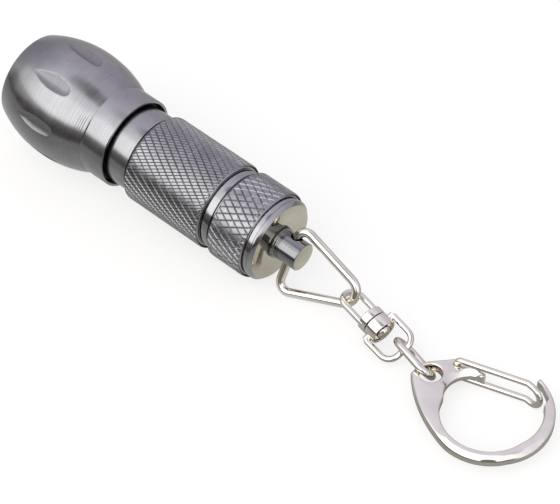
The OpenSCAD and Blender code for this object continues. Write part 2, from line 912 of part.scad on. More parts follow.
// Points of the clip in its own frame, with the hook's centre at the origin
eyelet = [-eyelet_reach, 0];
pivot_lead = 1.75;
pivot_side = 4.15;
pivot_pos = eyelet + [pivot_lead, pivot_side];
pivot_rim = 1.15;
ear_lead = 1.75;
ear_side = 5.2;
ear_pos = [ear_lead - hook_r, ear_side];
ear_r = 0.5;
pocket_lead = 3.05;
pocket_side = 1.1;
pocket_pos = [pocket_lead - hook_r, pocket_side];
pocket_r = 4.15;
rim_flare = 0.6;
plate_inset = 0.05;
nose_inset = 0.02;
plate_from = 262;
plate_to = 197;
plate_bulge = 1.45;
band_mid_r = hook_r + band_w / 2;

// Points of a bulging arc from one point to another
function bulged(from, to, bulge, steps = 12) =
    let (run = to - from)
    let (out = [run[1], -run[0]] / norm(run))
    [for (i = [0 : steps])
        let (f = i / steps)
        from + f * run + 4 * f * (1 - f) * bulge * out];

// The plate that carries the link's hole, the gate's pivot and the ear
module plate_outline() {
    rim_r = eyelet_d / 2 + eyelet_rim;
    rim_end = eyelet + (rim_r + rim_flare) * [cos(222), sin(222)];
    band_end = (band_r - plate_inset) * [cos(plate_from), sin(plate_from)];
    polygon(concat(
        arc([0, 0], band_mid_r, plate_from, plate_to, 16),
        arc(pocket_pos, pocket_r, 226, 119, 14),
        arc(ear_pos, ear_r, -70, 95, 8),
        arc(pivot_pos, pivot_rim, 80, 130, 6),
        arc(eyelet, rim_r, 140, 185, 8),
        bulged(rim_end, band_end, plate_bulge)
    ));
}

// The nose leaves the band slowly, and its inside is cut back where the gate's end rests
nose_tip = 83;
nose_out_from = -30;
nose_in_from = -8;
nose_cut_from = 54;
nose_cut_to = 61;
nose_in_lift = 1.4;
nose_cut_lift = 2.45;
nose_tip_lift = 2.85;
nose_tip_turn = 8;

module nose_outline() {
    steps = 16;
    polygon(concat(
        [for (i = [0 : steps])
            let (f = i / steps)
            let (a = nose_out_from + (nose_tip - nose_out_from) * f)
            (band_r - nose_inset + nose_lift * f) * [cos(a), sin(a)]],
        arc([0, 0], hook_r + nose_tip_lift, nose_tip, nose_tip - nose_tip_turn, 3),
        [(hook_r + nose_cut_lift) * [cos(nose_cut_to), sin(nose_cut_to)]],
        [for (i = [steps : -1 : 0])
            let (f = i / steps)
            let (a = nose_in_from + (nose_cut_from - nose_in_from) * f)
            (hook_r + nose_in_lift * f) * [cos(a), sin(a)]],
        [band_mid_r * [cos(nose_in_from), sin(nose_in_from)]],
        [band_mid_r * [cos(nose_out_from), sin(nose_out_from)]]
    ));
}

module clip_frame() {
    out_x = band_w / 2 - band_round;
    out_z = clip_t / 2 - band_round;
    in_x = band_w / 2 - band_in_round;
    in_z = clip_t / 2 - band_in_round;
    color("silver")
        on_clip()
            difference() {
                union() {
                    rotate([0, 0, plate_to])
                        rotate_extrude(angle = 360 - plate_to + nose_in_from + 1)
                            translate([band_mid_r, 0])
                                polygon(concat(
                                    arc([out_x, out_z], band_round, 0, 90, 8),
                                    arc([-in_x, in_z], band_in_round, 90, 180, 4),
                                    arc([-in_x, -in_z], band_in_round, 180, 270, 4),
                                    arc([out_x, -out_z], band_round, 270, 360, 8)
                                ));
                    translate([0, 0, -clip_t / 2])
                        linear_extrude(clip_t)
                            plate_outline();
                    translate([0, 0, -clip_t / 2])
                        linear_extrude(clip_t)
                            nose_outline();
                }
                translate([-eyelet_reach, 0, 0])
                    cylinder(d = eyelet_d, h = clip_t * 2, center = true, $fn = 64);
                translate([pivot_pos[0], pivot_pos[1], 0])
                    cylinder(r = gate_wire / 2 + run_fit, h = clip_t * 2, center = true, $fn = 48);
            }
}

// The gate: a wire loop that stands across the frame, with its two ends in one hole
kink_lift = 0.74;
kink_half = 0.5;
gate_kink = (hook_r + kink_lift) * [cos(82.3), sin(82.3)];
gate_end_heading = -5;
gate_tip_run = 0.9;
gate_bend_r = 0.7;
gate_end_gap = 0.3;

// Half of the gate's path, from the end in the hole to the start of the round tip
function gate_half() =
    let (leg = unit(gate_kink - pivot_pos))
    let (end = [cos(gate_end_heading), sin(gate_end_heading)])
    concat(
        [[pivot_pos[0], pivot_pos[1], gate_end_gap / 2]],
        [for (p = arc([gate_bend_r, leg_z - gate_bend_r], gate_bend_r, 180, 90, 5))
            let (q = pivot_pos + p[0] * leg)
            [q[0], q[1], p[1]]],
        [for (q = [
            gate_kink - kink_half * leg,
            gate_kink + kink_half * end,
            gate_kink + gate_tip_run * end
        ])
            [q[0], q[1], leg_z]]
    );

module clip_gate() {
    half = gate_half();
    end = [cos(gate_end_heading), sin(gate_end_heading)];
    tip = gate_kink + gate_tip_run * end;
    leg = unit(gate_kink - pivot_pos);
    path = concat(
        half,
        [for (p = arc([0, 0], leg_z, 80, -80, 14))
            let (q = tip + p[0] * end)
            [q[0], q[1], p[1]]],
        [for (i = [len(half) - 1 : -1 : 0]) [half[i][0], half[i][1], -half[i][2]]]
    );
    color("silver")
        on_clip()
            swept(path, gate_wire / 2, [-leg[1], leg[0], 0], 14);
}

head_shell();
lens_gasket();
lens();
reflector();
led_holder();
led();
led_board();
resistor();
front_contact();
barrel();
neck_seal();
cell_sleeve();
button_cell(0);  // button_cell_1
button_cell(1);  // button_cell_2
button_cell(2);  // button_cell_3
button_cell(3);  // button_cell_4
tail_spring();
tail_cap();
tail_seal();
lanyard_post();
tail_ring();
swivel_eye();
swivel_rivet();
swivel_bow();
oval_link();
clip_frame();
clip_gate();
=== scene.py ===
"""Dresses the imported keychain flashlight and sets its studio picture.

Lengths in the classes are millimetres and angles are degrees, as in the part's source.
Meshes are built in a sub-assembly's own frame and then moved to the place that the packed
joints give.
"""

import json
import logging
import math
from dataclasses import dataclass, field
from enum import Enum
from typing import ClassVar

import bmesh
import bpy
import numpy as np
from mathutils import Matrix, Vector
from mathutils.geometry import tessellate_polygon

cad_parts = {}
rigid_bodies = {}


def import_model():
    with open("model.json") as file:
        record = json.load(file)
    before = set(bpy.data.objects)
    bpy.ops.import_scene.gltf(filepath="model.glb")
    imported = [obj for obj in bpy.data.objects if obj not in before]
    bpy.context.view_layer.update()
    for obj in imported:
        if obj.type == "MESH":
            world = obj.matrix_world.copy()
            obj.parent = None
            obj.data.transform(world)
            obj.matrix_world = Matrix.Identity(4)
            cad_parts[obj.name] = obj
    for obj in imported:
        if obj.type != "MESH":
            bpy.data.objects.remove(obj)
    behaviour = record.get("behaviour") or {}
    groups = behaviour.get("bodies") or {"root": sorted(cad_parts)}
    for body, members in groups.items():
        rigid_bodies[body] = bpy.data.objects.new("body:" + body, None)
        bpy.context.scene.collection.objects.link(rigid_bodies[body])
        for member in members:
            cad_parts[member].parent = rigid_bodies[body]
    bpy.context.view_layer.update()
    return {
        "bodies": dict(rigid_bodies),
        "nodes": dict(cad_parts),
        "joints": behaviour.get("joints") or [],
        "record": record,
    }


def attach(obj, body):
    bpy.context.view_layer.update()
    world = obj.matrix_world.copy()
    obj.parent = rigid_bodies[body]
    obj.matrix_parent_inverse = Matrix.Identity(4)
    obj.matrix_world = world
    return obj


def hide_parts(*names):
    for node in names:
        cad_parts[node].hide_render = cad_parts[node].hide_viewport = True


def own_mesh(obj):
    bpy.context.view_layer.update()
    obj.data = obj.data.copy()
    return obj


MM = 0.001
UM = 1e-6
WHITE = (1.0, 1.0, 1.0, 1.0)
# Points closer than this, in metres, are one point
SAME_POINT = 1e-7
# An edge that turns by more than this stays sharp
SHARP_EDGE = 32.0
# A corner of a profile that is flatter than this isn't rounded
FLAT_CORNER = 172.0
# Most of a side that one rounding may take
SIDE_SHARE = 0.45
# A radius in mm below which a point lies on the axis
ON_AXIS = 1e-6
log = logging.getLogger("flashlight")

Point = tuple[float, float]
Point3 = tuple[float, float, float]
Colour = tuple[float, float, float, float]


def linear(code: str) -> Colour:
    """Turns an sRGB hex colour into linear light.

    Args:
        code: colour as "#rrggbb".

    Returns:
        Linear red, green, blue and an alpha of 1.
    """
    parts = [int(code[i : i + 2], 16) / 255 for i in (1, 3, 5)]
    lit = [c / 12.92 if c <= 0.04045 else ((c + 0.055) / 1.055) ** 2.4 for c in parts]
    return (lit[0], lit[1], lit[2], 1.0)


def add(
    tree: bpy.types.NodeTree, kind: str, links: dict | None = None, **settings: object
) -> bpy.types.Node:
    """Adds a node with its settings and links.

    Args:
        tree: node tree that takes the node.
        kind: Blender's name of the node type.
        links: socket name or number to a socket to link from, or to a value.
        settings: properties of the node.

    Returns:
        The new node.
    """
    node = tree.nodes.new(kind)
    for key, value in settings.items():
        setattr(node, key, value)
    for key, value in (links or {}).items():
        if isinstance(value, bpy.types.NodeSocket):
            tree.links.new(value, node.inputs[key])
        else:
            node.inputs[key].default_value = value
    return node


class Turning(Enum):
    """Which way the lathe's lines run on a turned surface."""

    AROUND = "rings along the axis"
    FACE = "rings round the middle of an end face"


class Edge(Enum):
    """An edge of the cast clip: its fall, its width across the face, its first and last slope."""

    BAND = (0.9, 0.8, 32, 68)
    POCKET = (0.8, 0.87, 35, 50)
    PLATE = (0.35, 0.35, 0, 90)
    INNER = (0.28, 0.28, 0, 90)
    TIP = (0.25, 0.25, 0, 90)
    HOLE = (0.3, 0.3, 0, 90)
    PIN = (0.1, 0.1, 0, 90)

    def under(self) -> "Edge":
        """Returns the plain edge that the underside has."""
        return {Edge.BAND: Edge.PLATE, Edge.POCKET: Edge.INNER}.get(self, self)

    def profile(self, steps: int) -> np.ndarray:
        """Returns how far in and how far down the edge lies after each step."""
        fall, cross, first, last = self.value
        slope = np.radians(first + (last - first) * (np.arange(steps) + 0.5) / steps)
        run = np.concatenate([[0], np.cumsum(np.cos(slope))])
        drop = np.concatenate([[0], np.cumsum(np.sin(slope))])
        return np.stack([cross * (1 - run / run[-1]), fall * drop / drop[-1]], 1)


class Section(Enum):
    """How a bar's section is kept upright along its path."""

    ROUND = "round wire"
    FLAT = "flat bar in one plane"


@dataclass(frozen=True)
class Finish:
    """What all finishes share: a colour and a gloss that drift, over a fine relief.

    Fields give the material's name, the two ends of its colour variation, its roughness,
    and the length of its relief in mm with the relief's height in micrometres. A class of
    finishes sets the values of its pattern that the two colours stand at, and the share
    by which the gloss varies.
    """

    name: str
    colour: str
    shade: str
    roughness: float
    relief_mm: float
    relief_um: float

    levels: ClassVar[Point]
    swing: ClassVar[float]
    # Nearly all values of a noise lie between these
    noise_span: ClassVar[Point] = (0.3, 0.7)

    def started(self) -> tuple[bpy.types.Material, bpy.types.NodeTree, bpy.types.NodeSocket]:
        """Returns a new material, its node tree and the Object coordinates in it."""
        made = bpy.data.materials.new(self.name)
        made.use_nodes = True
        return made, made.node_tree, add(made.node_tree, "ShaderNodeTexCoord").outputs["Object"]

    def coat(
        self,
        tree: bpy.types.NodeTree,
        pattern: bpy.types.NodeSocket,
        haze: bpy.types.NodeSocket,
        relief: bpy.types.NodeSocket,
    ) -> bpy.types.Node:
        """Gives the shader its colour, gloss and relief.

        Args:
            tree: the material's node tree.
            pattern: value that the colour follows.
            haze: noise that the gloss follows.
            relief: height of the relief, from 0 to 1.

        Returns:
            The shader.
        """
        spread = add(
            tree,
            "ShaderNodeMapRange",
            {"Value": pattern, "From Min": self.levels[0], "From Max": self.levels[1]},
        ).outputs["Result"]
        tone = add(
            tree,
            "ShaderNodeMix",
            {"Factor": spread, 6: linear(self.shade), 7: linear(self.colour)},
            data_type="RGBA",
        )
        gloss = add(
            tree,
            "ShaderNodeMapRange",
            {
                "Value": haze,
                "From Min": self.noise_span[0],
                "From Max": self.noise_span[1],
                "To Min": self.roughness * (1 - self.swing),
                "To Max": self.roughness * (1 + self.swing),
            },
        )
        bump = add(
            tree,
            "ShaderNodeBump",
            {"Height": relief, "Distance": self.relief_um * UM, "Strength": 1.0},
        )
        shader = tree.nodes["Principled BSDF"]
        tree.links.new(tone.outputs[2], shader.inputs["Base Color"])
        tree.links.new(gloss.outputs["Result"], shader.inputs["Roughness"])
        tree.links.new(bump.outputs["Normal"], shader.inputs["Normal"])
        return shader


@dataclass(frozen=True)
class TurnedMetal(Finish):
    """A metal cut on a lathe: fine rings that stretch each highlight round the piece."""

    turning: Turning = Turning.AROUND

    levels = (0.15, 0.38)
    swing = 0.15
    cloud_mm: ClassVar[float] = 2.5

    def material(self, place: Matrix) -> bpy.types.Material:
        """Builds the material.

        Args:
            place: frame of the light, whose Z is the turning axis.

        Returns:
            The finished material.
        """
        made, tree, coords = self.started()
        local = add(
            tree,
            "ShaderNodeMapping",
            {"Vector": coords, "Location": place.to_translation(), "Rotation": place.to_euler()},
            vector_type="TEXTURE",
        ).outputs["Vector"]
        parts = add(tree, "ShaderNodeSeparateXYZ", {"Vector": local}).outputs
        run = parts["Z"]
        if self.turning is Turning.FACE:
            flat = add(tree, "ShaderNodeCombineXYZ", {"X": parts["X"], "Y": parts["Y"]}).outputs[0]
            run = add(tree, "ShaderNodeVectorMath", {0: flat}, operation="LENGTH").outputs["Value"]
        rings = add(
            tree,
            "ShaderNodeTexNoise",
            {"W": run, "Scale": 1 / (self.relief_mm * MM), "Detail": 3.0, "Roughness": 0.6},
            noise_dimensions="1D",
        ).outputs["Fac"]
        cloud = add(
            tree,
            "ShaderNodeTexNoise",
            {"Vector": coords, "Scale": 1 / (self.cloud_mm * MM), "Detail": 4.0},
        ).outputs["Fac"]
        both = add(tree, "ShaderNodeMath", {0: rings, 1: cloud}, operation="MULTIPLY").outputs[0]
        self.coat(tree, both, cloud, rings).inputs["Metallic"].default_value = 1.0
        return made


@dataclass(frozen=True)
class PlatedMetal(Finish):
    """A plated or drawn metal: a near mirror whose slow waves bend what it reflects."""

    levels = (0.35, 0.6)
    swing = 0.3
    haze_waves: ClassVar[float] = 3.0

    def material(self) -> bpy.types.Material:
        """Builds and returns the material."""
        made, tree, coords = self.started()
        wave, haze = (
            add(
                tree,
                "ShaderNodeTexNoise",
                {"Vector": coords, "Scale": 1 / (waves * self.relief_mm * MM), "Detail": 2.0},
            ).outputs["Fac"]
            for waves in (1.0, self.haze_waves)
        )
        self.coat(tree, haze, haze, wave).inputs["Metallic"].default_value = 1.0
        return made


@dataclass(frozen=True)
class Moulded(Finish):
    """A moulded, laminated or cast polymer: a matt skin with a fine grain.

    Its own field gives how much light it lets through.
    """

    clear: float = 0.0

    levels = (0.3, 0.65)
    swing = 0.15

    def material(self) -> bpy.types.Material:
        """Builds and returns the material."""
        made, tree, coords = self.started()
        grain = add(
            tree,
            "ShaderNodeTexNoise",
            {"Vector": coords, "Scale": 1 / (self.relief_mm * MM), "Detail": 4.0},
        ).outputs["Fac"]
        shader = self.coat(tree, grain, grain, grain)
        shader.inputs["Transmission Weight"].default_value = self.clear
        return made


# Anodised turned aluminium: a grey metal whose fine rings draw out a soft highlight
BODY = TurnedMetal("anodised_aluminium_turned", "#a8a8a9", "#9b9b9d", 0.2, 0.22, 1.2)
# The same metal milled with a ball cutter: matt, so the flutes keep an even grey
FLUTE = TurnedMetal("anodised_aluminium_milled", "#949496", "#8b8b8d", 0.42, 0.4, 0.6)
# The same metal under the knurling wheel: its peaks are rubbed a little brighter
KNURL = TurnedMetal("anodised_aluminium_knurled", "#a9a9aa", "#969698", 0.26, 0.5, 0.4)
# Bare aluminium cut flat on the lathe: bright, with rings round the middle, and a warm beige tone
# that is painted reflection
FACED_PAINTED_REFLECTION = TurnedMetal("aluminium_faced", "#cac6b5", "#bdb9a8", 0.11, 0.2, 1.0, Turning.FACE)
# The anodised metal polished on the cap: its bands of light and dark are crisper
CAP = TurnedMetal("anodised_aluminium_polished", "#adadae", "#a2a2a4", 0.11, 0.22, 0.6)
# Polished steel turned from bar: dark and glossy
POST = TurnedMetal("stainless_steel_polished", "#929295", "#868689", 0.06, 0.2, 0.35)
# Bright nickel over die-cast and bent wire: a clean mirror with slow waves
NICKEL = PlatedMetal("nickel_plate_bright", "#edeae0", "#e3dfd5", 0.035, 1.6, 4.0)
# Drawn spring steel: duller than the plate, with a faint grain
SPRING = PlatedMetal("spring_steel_drawn", "#c9c9cc", "#b4b4b8", 0.25, 0.8, 4.0)
# Nickel-plated steel cans of the cells: a soft sheen over slow waves
CELL = PlatedMetal("nickel_plated_steel", "#dcdad6", "#cfcdc9", 0.2, 2.0, 4.0)
# Brass pressing: yellow, bright where it meets the cell
BRASS = PlatedMetal("brass_pressed", "#e0b865", "#cda552", 0.2, 1.0, 4.0)
# Aluminium evaporated on moulded plastic: a mirror with a slight orange peel
MIRROR = PlatedMetal("plastic_metallised", "#f0f0f2", "#e6e6ea", 0.05, 0.9, 3.0)
# Nitrile rubber: black, matt, with a dusty grain
RUBBER = Moulded("nitrile_rubber", "#17171a", "#101012", 0.5, 0.25, 4.0)
# Acetal: white, waxy
ACETAL = Moulded("acetal_moulded", "#eeece6", "#e2e0da", 0.4, 0.4, 2.0)
# Glass-epoxy board under green lacquer: half glossy, with a fine grain
BOARD = Moulded("glass_epoxy_board", "#1d6b3a", "#155430", 0.35, 0.3, 3.0)
# Fired film on ceramic: black with a grey bloom
FILM = Moulded("thick_film_resistor", "#1c1c1e", "#2c2c2f", 0.45, 0.15, 2.0)
# Thin polyester film: milky
SLEEVE = Moulded("polyester_film", "#e9e9ea", "#dcdcde", 0.3, 0.6, 2.0)
# Float glass: clear, with a trace of green
GLASS = Moulded("float_glass", "#fbfdfc", "#f6faf8", 0.02, 3.0, 0.3, 1.0)
# Cast epoxy: water clear, a little yellow from the phosphor
RESIN = Moulded("epoxy_resin_cast", "#fdf9e6", "#f8f2d8", 0.05, 1.2, 0.6, 0.85)


def framed(origin: Vector, x: Vector, y: Vector, z: Vector) -> Matrix:
    """Returns the matrix of a frame from its origin and its three directions."""
    return Matrix.Translation(origin) @ Matrix((x, y, z)).transposed().to_4x4()


def turned(degrees: float, axis: str) -> Matrix:
    """Returns the matrix of a turn about one axis."""
    return Matrix.Rotation(math.radians(degrees), 4, axis)


def polar(r: float, degrees: float, centre: Point = (0.0, 0.0)) -> Point:
    """Returns the point at a radius and an angle from a centre."""
    a = math.radians(degrees)
    return centre[0] + r * math.cos(a), centre[1] + r * math.sin(a)


@dataclass(frozen=True)
class Places:
    """Where each sub-assembly lies, as a matrix from its own frame to the part's."""

    light: Matrix
    ring: Matrix
    eye: Matrix
    bow: Matrix
    link: Matrix
    clip: Matrix

    @classmethod
    def from_record(
        cls, record: dict, swivel: "Swivel", link: "OvalLink", clip: "SnapClip"
    ) -> "Places":
        """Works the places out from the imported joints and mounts.

        Args:
            record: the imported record.
            swivel: the swivel, for the turn of its two halves about their rivet.
            link: the link, for its heading and lean.
            clip: the clip, for its heading.

        Returns:
            The places.
        """
        joints, mounts = record["behaviour"]["joints"], record["mounts"]
        axes = {row["name"]: Vector(row["axis"]) for row in joints}
        # A slide has an axis and no place
        spots = {row["name"]: Vector(row["pos_m"]) for row in joints + mounts if "pos_m" in row}

        axis = axes["head_twist"]
        side = Vector((axis.z, 0, -axis.x))
        light = framed(spots["head_twist"], side, Vector((0, 1, 0)), axis)

        across = axes["ring_swing"].normalized()
        reach = spots["eye_swing"] - spots["ring_swing"]
        along = (reach - reach.dot(across) * across).normalized()
        ring = framed(spots["ring_swing"], across.cross(along), across, along)

        spin = axes["swivel_spin"].normalized()
        heading = Matrix.Rotation(math.atan2(spin.y, spin.x), 4, "Z")
        slope = Matrix.Rotation(math.asin(-spin.z), 4, "Y")
        rivet = Matrix.Translation(spots["swivel_spin"]) @ heading @ slope

        middle = spots["clip_swing"] - MM * Vector((*polar(link.end, link.yaw), 0))
        middle.z = link.height * MM
        chain = Matrix.Translation(middle) @ turned(link.yaw, "Z") @ turned(link.lean, "X")

        return cls(
            light,
            ring,
            rivet @ turned(swivel.eye_roll, "X"),
            rivet @ turned(swivel.bow_roll, "X"),
            chain,
            Matrix.Translation(spots["hook"]) @ turned(clip.yaw, "Z"),
        )


def smoothed(mesh: bpy.types.Mesh) -> bpy.types.Mesh:
    """Shades a mesh smooth, keeps its hard edges sharp and returns it."""
    mesh.shade_smooth()
    mesh.set_sharp_from_angle(angle=math.radians(SHARP_EDGE))
    return mesh


def tidied(*meshes: bpy.types.Mesh) -> bpy.types.Mesh:
    """Joins meshes into the first one, merges doubles and turns the faces outwards.

    Args:
        meshes: meshes in one frame.

    Returns:
        The first mesh, with smooth faces and sharp edges kept.
    """
    work = bmesh.new()
    for mesh in meshes:
        work.from_mesh(mesh)
    bmesh.ops.remove_doubles(work, verts=work.verts, dist=SAME_POINT)
    bmesh.ops.recalc_face_normals(work, faces=work.faces)
    work.to_mesh(meshes[0])
    work.free()
    return smoothed(meshes[0])


def mesh_from(name: str, points: np.ndarray, faces: list) -> bpy.types.Mesh:
    """Makes a closed mesh, with its doubles merged and its faces turned outwards.

    Args:
        name: name of the mesh.
        points: corner points in mm.
        faces: corner numbers of each face.

    Returns:
        The mesh, in metres.
    """
    mesh = bpy.data.meshes.new(name)
    mesh.from_pydata((points * MM).tolist(), [], faces)
    return tidied(mesh)


def joined(low: int, high: int, count: int) -> list[tuple[int, ...]]:
    """Returns the faces between two closed rows of points.

    Args:
        low: number of the first point of one row.
        high: number of the first point of the other row.
        count: points in each row.

    Returns:
        Four corner numbers for each face.
    """
    pairs = [(i, (i + 1) % count) for i in range(count)]
    return [(low + i, low + k, high + k, high + i) for i, k in pairs]


def rounded(
    profile: list[Point], radius: float, steps: int = 4, closed: bool = True
) -> list[Point]:
    """Rounds the corners of a profile.

    Args:
        profile: corner points.
        radius: largest radius; a short side takes a smaller one.
        steps: points along each rounding, less one.
        closed: whether the last point joins the first.

    Returns:
        The rounded profile.
    """
    out: list[Point] = []
    count = len(profile)
    for i, corner in enumerate(profile):
        here = Vector(corner)
        back = Vector(profile[i - 1]) - here
        on = Vector(profile[(i + 1) % count]) - here
        loose = not closed and i in (0, count - 1)
        angle = math.pi if loose else back.angle(on)
        if angle > math.radians(FLAT_CORNER):
            out.append(corner)
            continue
        most = SIDE_SHARE * back.length, SIDE_SHARE * on.length
        run = min(radius / math.tan(angle / 2), *most)
        start, end = here + run * back.normalized(), here + run * on.normalized()
        for s in range(steps + 1):
            f = s / steps
            p = (1 - f) ** 2 * start + 2 * f * (1 - f) * here + f * f * end
            out.append((p.x, p.y))
    return out


def lathe(
    name: str, profile: list[Point], segments: int, closed: bool = True
) -> bpy.types.Mesh:
    """Turns a profile about Z.

    Args:
        name: name of the mesh.
        profile: radius and station of each corner, in mm.
        segments: sides round the axis.
        closed: whether the last point joins the first; both ends lie on the axis if not.

    Returns:
        The turned mesh.
    """
    angles = np.linspace(0, math.tau, segments, endpoint=False)
    points, rings = [], []
    for r, z in profile:
        first = len(points)
        if r < ON_AXIS:
            points.append((0.0, 0.0, z))
            rings.append([first] * segments)
        else:
            points += [(r * math.cos(a), r * math.sin(a), z) for a in angles]
            rings.append(list(range(first, first + segments)))
    faces = []
    for low, high in zip(rings, rings[1:] + rings[:1] if closed else rings[1:]):
        for j in range(segments):
            k = (j + 1) % segments
            corners = dict.fromkeys((low[j], low[k], high[k], high[j]))
            if len(corners) > 2:
                faces.append(list(corners))
    return mesh_from(name, np.array(points), faces)


def placed(name: str, data: bpy.types.ID) -> bpy.types.Object:
    """Makes an object of some data, links it to the scene and returns it."""
    made = bpy.data.objects.new(name, data)
    bpy.context.scene.collection.objects.link(made)
    return made


def put(
    name: str,
    mesh: bpy.types.Mesh,
    place: Matrix,
    body: str,
    node: str,
    slot: str,
    *finishes: bpy.types.Material,
) -> bpy.types.Object:
    """Sets a finished mesh down as a piece that rides on a CAD body.

    Args:
        name: name of the piece.
        mesh: mesh in its own frame.
        place: frame that the mesh is moved to.
        body: CAD body that carries it.
        node: CAD node that it stands for.
        slot: material slot of the record; not used.
        finishes: materials, if the mesh has none yet.

    Returns:
        The piece.
    """
    mesh.transform(place)
    for finish in finishes:
        mesh.materials.append(finish)
    piece = placed(name, mesh)
    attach(piece, body)
    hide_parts(node)
    log.info("%s: %d faces on %s", name, len(mesh.polygons), body)
    return piece


def plain(holder: bpy.types.Object, name: str) -> bpy.types.Mesh:
    """Turns what an object's modifiers make of it into a plain mesh.

    Args:
        holder: the object, which is removed.
        name: name of the mesh.

    Returns:
        The plain mesh.
    """
    bpy.context.view_layer.update()
    graph = bpy.context.evaluated_depsgraph_get()
    mesh = bpy.data.meshes.new_from_object(holder.evaluated_get(graph), depsgraph=graph)
    holder.modifiers.clear()
    bpy.data.objects.remove(holder)
    mesh.name = name
    return mesh


def cut_from(solid: bpy.types.Mesh, tool: bpy.types.Mesh) -> bpy.types.Mesh:
    """Cuts one closed mesh from another.

    Args:
        solid: mesh that is cut.
        tool: mesh that is taken away.

    Returns:
        The cut mesh.
    """
    holder, cutter = placed(solid.name, solid), placed(tool.name, tool)
    modifier = holder.modifiers.new("cut", "BOOLEAN")
    modifier.operation = "DIFFERENCE"
    modifier.solver = "EXACT"
    modifier.object = cutter
    mesh = plain(holder, solid.name)
    bpy.data.objects.remove(cutter)
    return mesh


def node_group(name: str, inputs: dict[str, str], output: str) -> bpy.types.NodeTree:
    """Starts a Geometry Nodes group.

    Args:
        name: name of the group.
        inputs: name of each input to its kind.
        output: name of the geometry that comes out.

    Returns:
        The group with its sockets.
    """
    group = bpy.data.node_groups.new(name, "GeometryNodeTree")
    for key, kind in inputs.items():
        group.interface.new_socket(key, in_out="INPUT", socket_type=f"NodeSocket{kind}")
    group.interface.new_socket(output, in_out="OUTPUT", socket_type="NodeSocketGeometry")
    return group


def grown(
    name: str, seed: bpy.types.Mesh, tree: bpy.types.NodeTree, values: dict
) -> bpy.types.Mesh:
    """Runs a Geometry Nodes tree on a mesh and returns the result as a plain mesh.

    Args:
        name: name of the result.
        seed: mesh that the tree starts from.
        tree: the node group.
        values: input names to values.

    Returns:
        The plain mesh.
    """
    holder = placed(name, seed)
    modifier = holder.modifiers.new(name, "NODES")
    modifier.node_group = tree
    for item in tree.interface.items_tree:
        if item.item_type == "SOCKET" and item.in_out == "INPUT" and item.name in values:
            modifier[item.identifier] = values[item.name]
    return plain(holder, name)


@dataclass
class BarMaker:
    """Bends wires and bars along a path with Geometry Nodes.

    The path is a chain of corners, and each corner's own bend radius is an attribute.
    """

    bend_steps: int = 10
    corner_steps: int = 6

    def tree(self, section: Section) -> bpy.types.NodeTree:
        """Builds the node group.

        Args:
            section: whether the bar is round wire or a flat bar.

        Returns:
            A group with the inputs Width, Height, Corner and Finish.
        """
        inputs = {"Path": "Geometry", "Width": "Float", "Height": "Float", "Corner": "Float"}
        inputs["Finish"] = "Material"
        group = node_group(f"bar_{section.name.lower()}", inputs, "Bar")
        given = add(group, "NodeGroupInput").outputs
        line = add(group, "GeometryNodeMeshToCurve", {"Mesh": given["Path"]})
        bend = add(group, "GeometryNodeInputNamedAttribute", {"Name": "bend"}, data_type="FLOAT")
        frame = add(
            group,
            "GeometryNodeCurvePrimitiveQuadrilateral",
            {"Width": given["Width"], "Height": given["Height"]},
        )
        curves = []
        for sharp, radius, steps in (
            (line, bend.outputs["Attribute"], self.bend_steps),
            (frame, given["Corner"], self.corner_steps),
        ):
            links = {"Curve": sharp.outputs["Curve"], "Radius": radius, "Count": steps}
            links["Limit Radius"] = True
            bent = add(group, "GeometryNodeFilletCurve", links, mode="POLY")
            curves.append(bent.outputs["Curve"])
        track, profile = curves
        if section is Section.FLAT:
            upright = add(group, "GeometryNodeSetCurveNormal", {"Curve": track}, mode="Z_UP")
            track = upright.outputs["Curve"]
        swept = add(
            group,
            "GeometryNodeCurveToMesh",
            {"Curve": track, "Profile Curve": profile, "Fill Caps": True},
        )
        real = add(group, "GeometryNodeRealizeInstances", {"Geometry": swept.outputs["Mesh"]})
        dressed = add(
            group,
            "GeometryNodeSetMaterial",
            {"Geometry": real.outputs["Geometry"], "Material": given["Finish"]},
        )
        add(group, "NodeGroupOutput", {"Bar": dressed.outputs["Geometry"]})
        return group

    def bar(
        self,
        name: str,
        corners: list[Point3],
        bends: list[float],
        size: Point,
        corner: float,
        finish: bpy.types.Material,
        closed: bool = False,
        section: Section = Section.FLAT,
    ) -> bpy.types.Mesh:
        """Makes one bar.

        Args:
            name: name of the mesh.
            corners: corners of its path, in mm.
            bends: bend radius at each corner, in mm.
            size: width across the path and height of the section, in mm.
            corner: rounding of the section's corners, in mm.
            finish: material.
            closed: whether the path joins up.
            section: round wire or flat bar.

        Returns:
            The bar as a plain mesh in metres.
        """
        count = len(corners)
        edges = [(i, (i + 1) % count) for i in range(count if closed else count - 1)]
        seed = bpy.data.meshes.new(name + "_path")
        seed.from_pydata((np.array(corners) * MM).tolist(), edges, [])
        radii = seed.attributes.new("bend", "FLOAT", "POINT")
        radii.data.foreach_set("value", [b * MM for b in bends])
        values = {"Width": size[0] * MM, "Height": size[1] * MM, "Corner": corner * MM}
        return tidied(grown(name, seed, self.tree(section), values | {"Finish": finish}))

    def wire(
        self,
        name: str,
        corners: list[Point3],
        bends: list[float],
        thick: float,
        finish: bpy.types.Material,
        closed: bool = False,
    ) -> bpy.types.Mesh:
        """Makes one round wire.

        Args:
            name: name of the mesh.
            corners: corners of its path, in mm.
            bends: bend radius at each corner, in mm.
            thick: diameter of the wire, in mm.
            finish: material.
            closed: whether the path joins up.

        Returns:
            The wire as a plain mesh in metres.
        """
        size = (thick, thick)
        return self.bar(name, corners, bends, size, thick / 2, finish, closed, Section.ROUND)


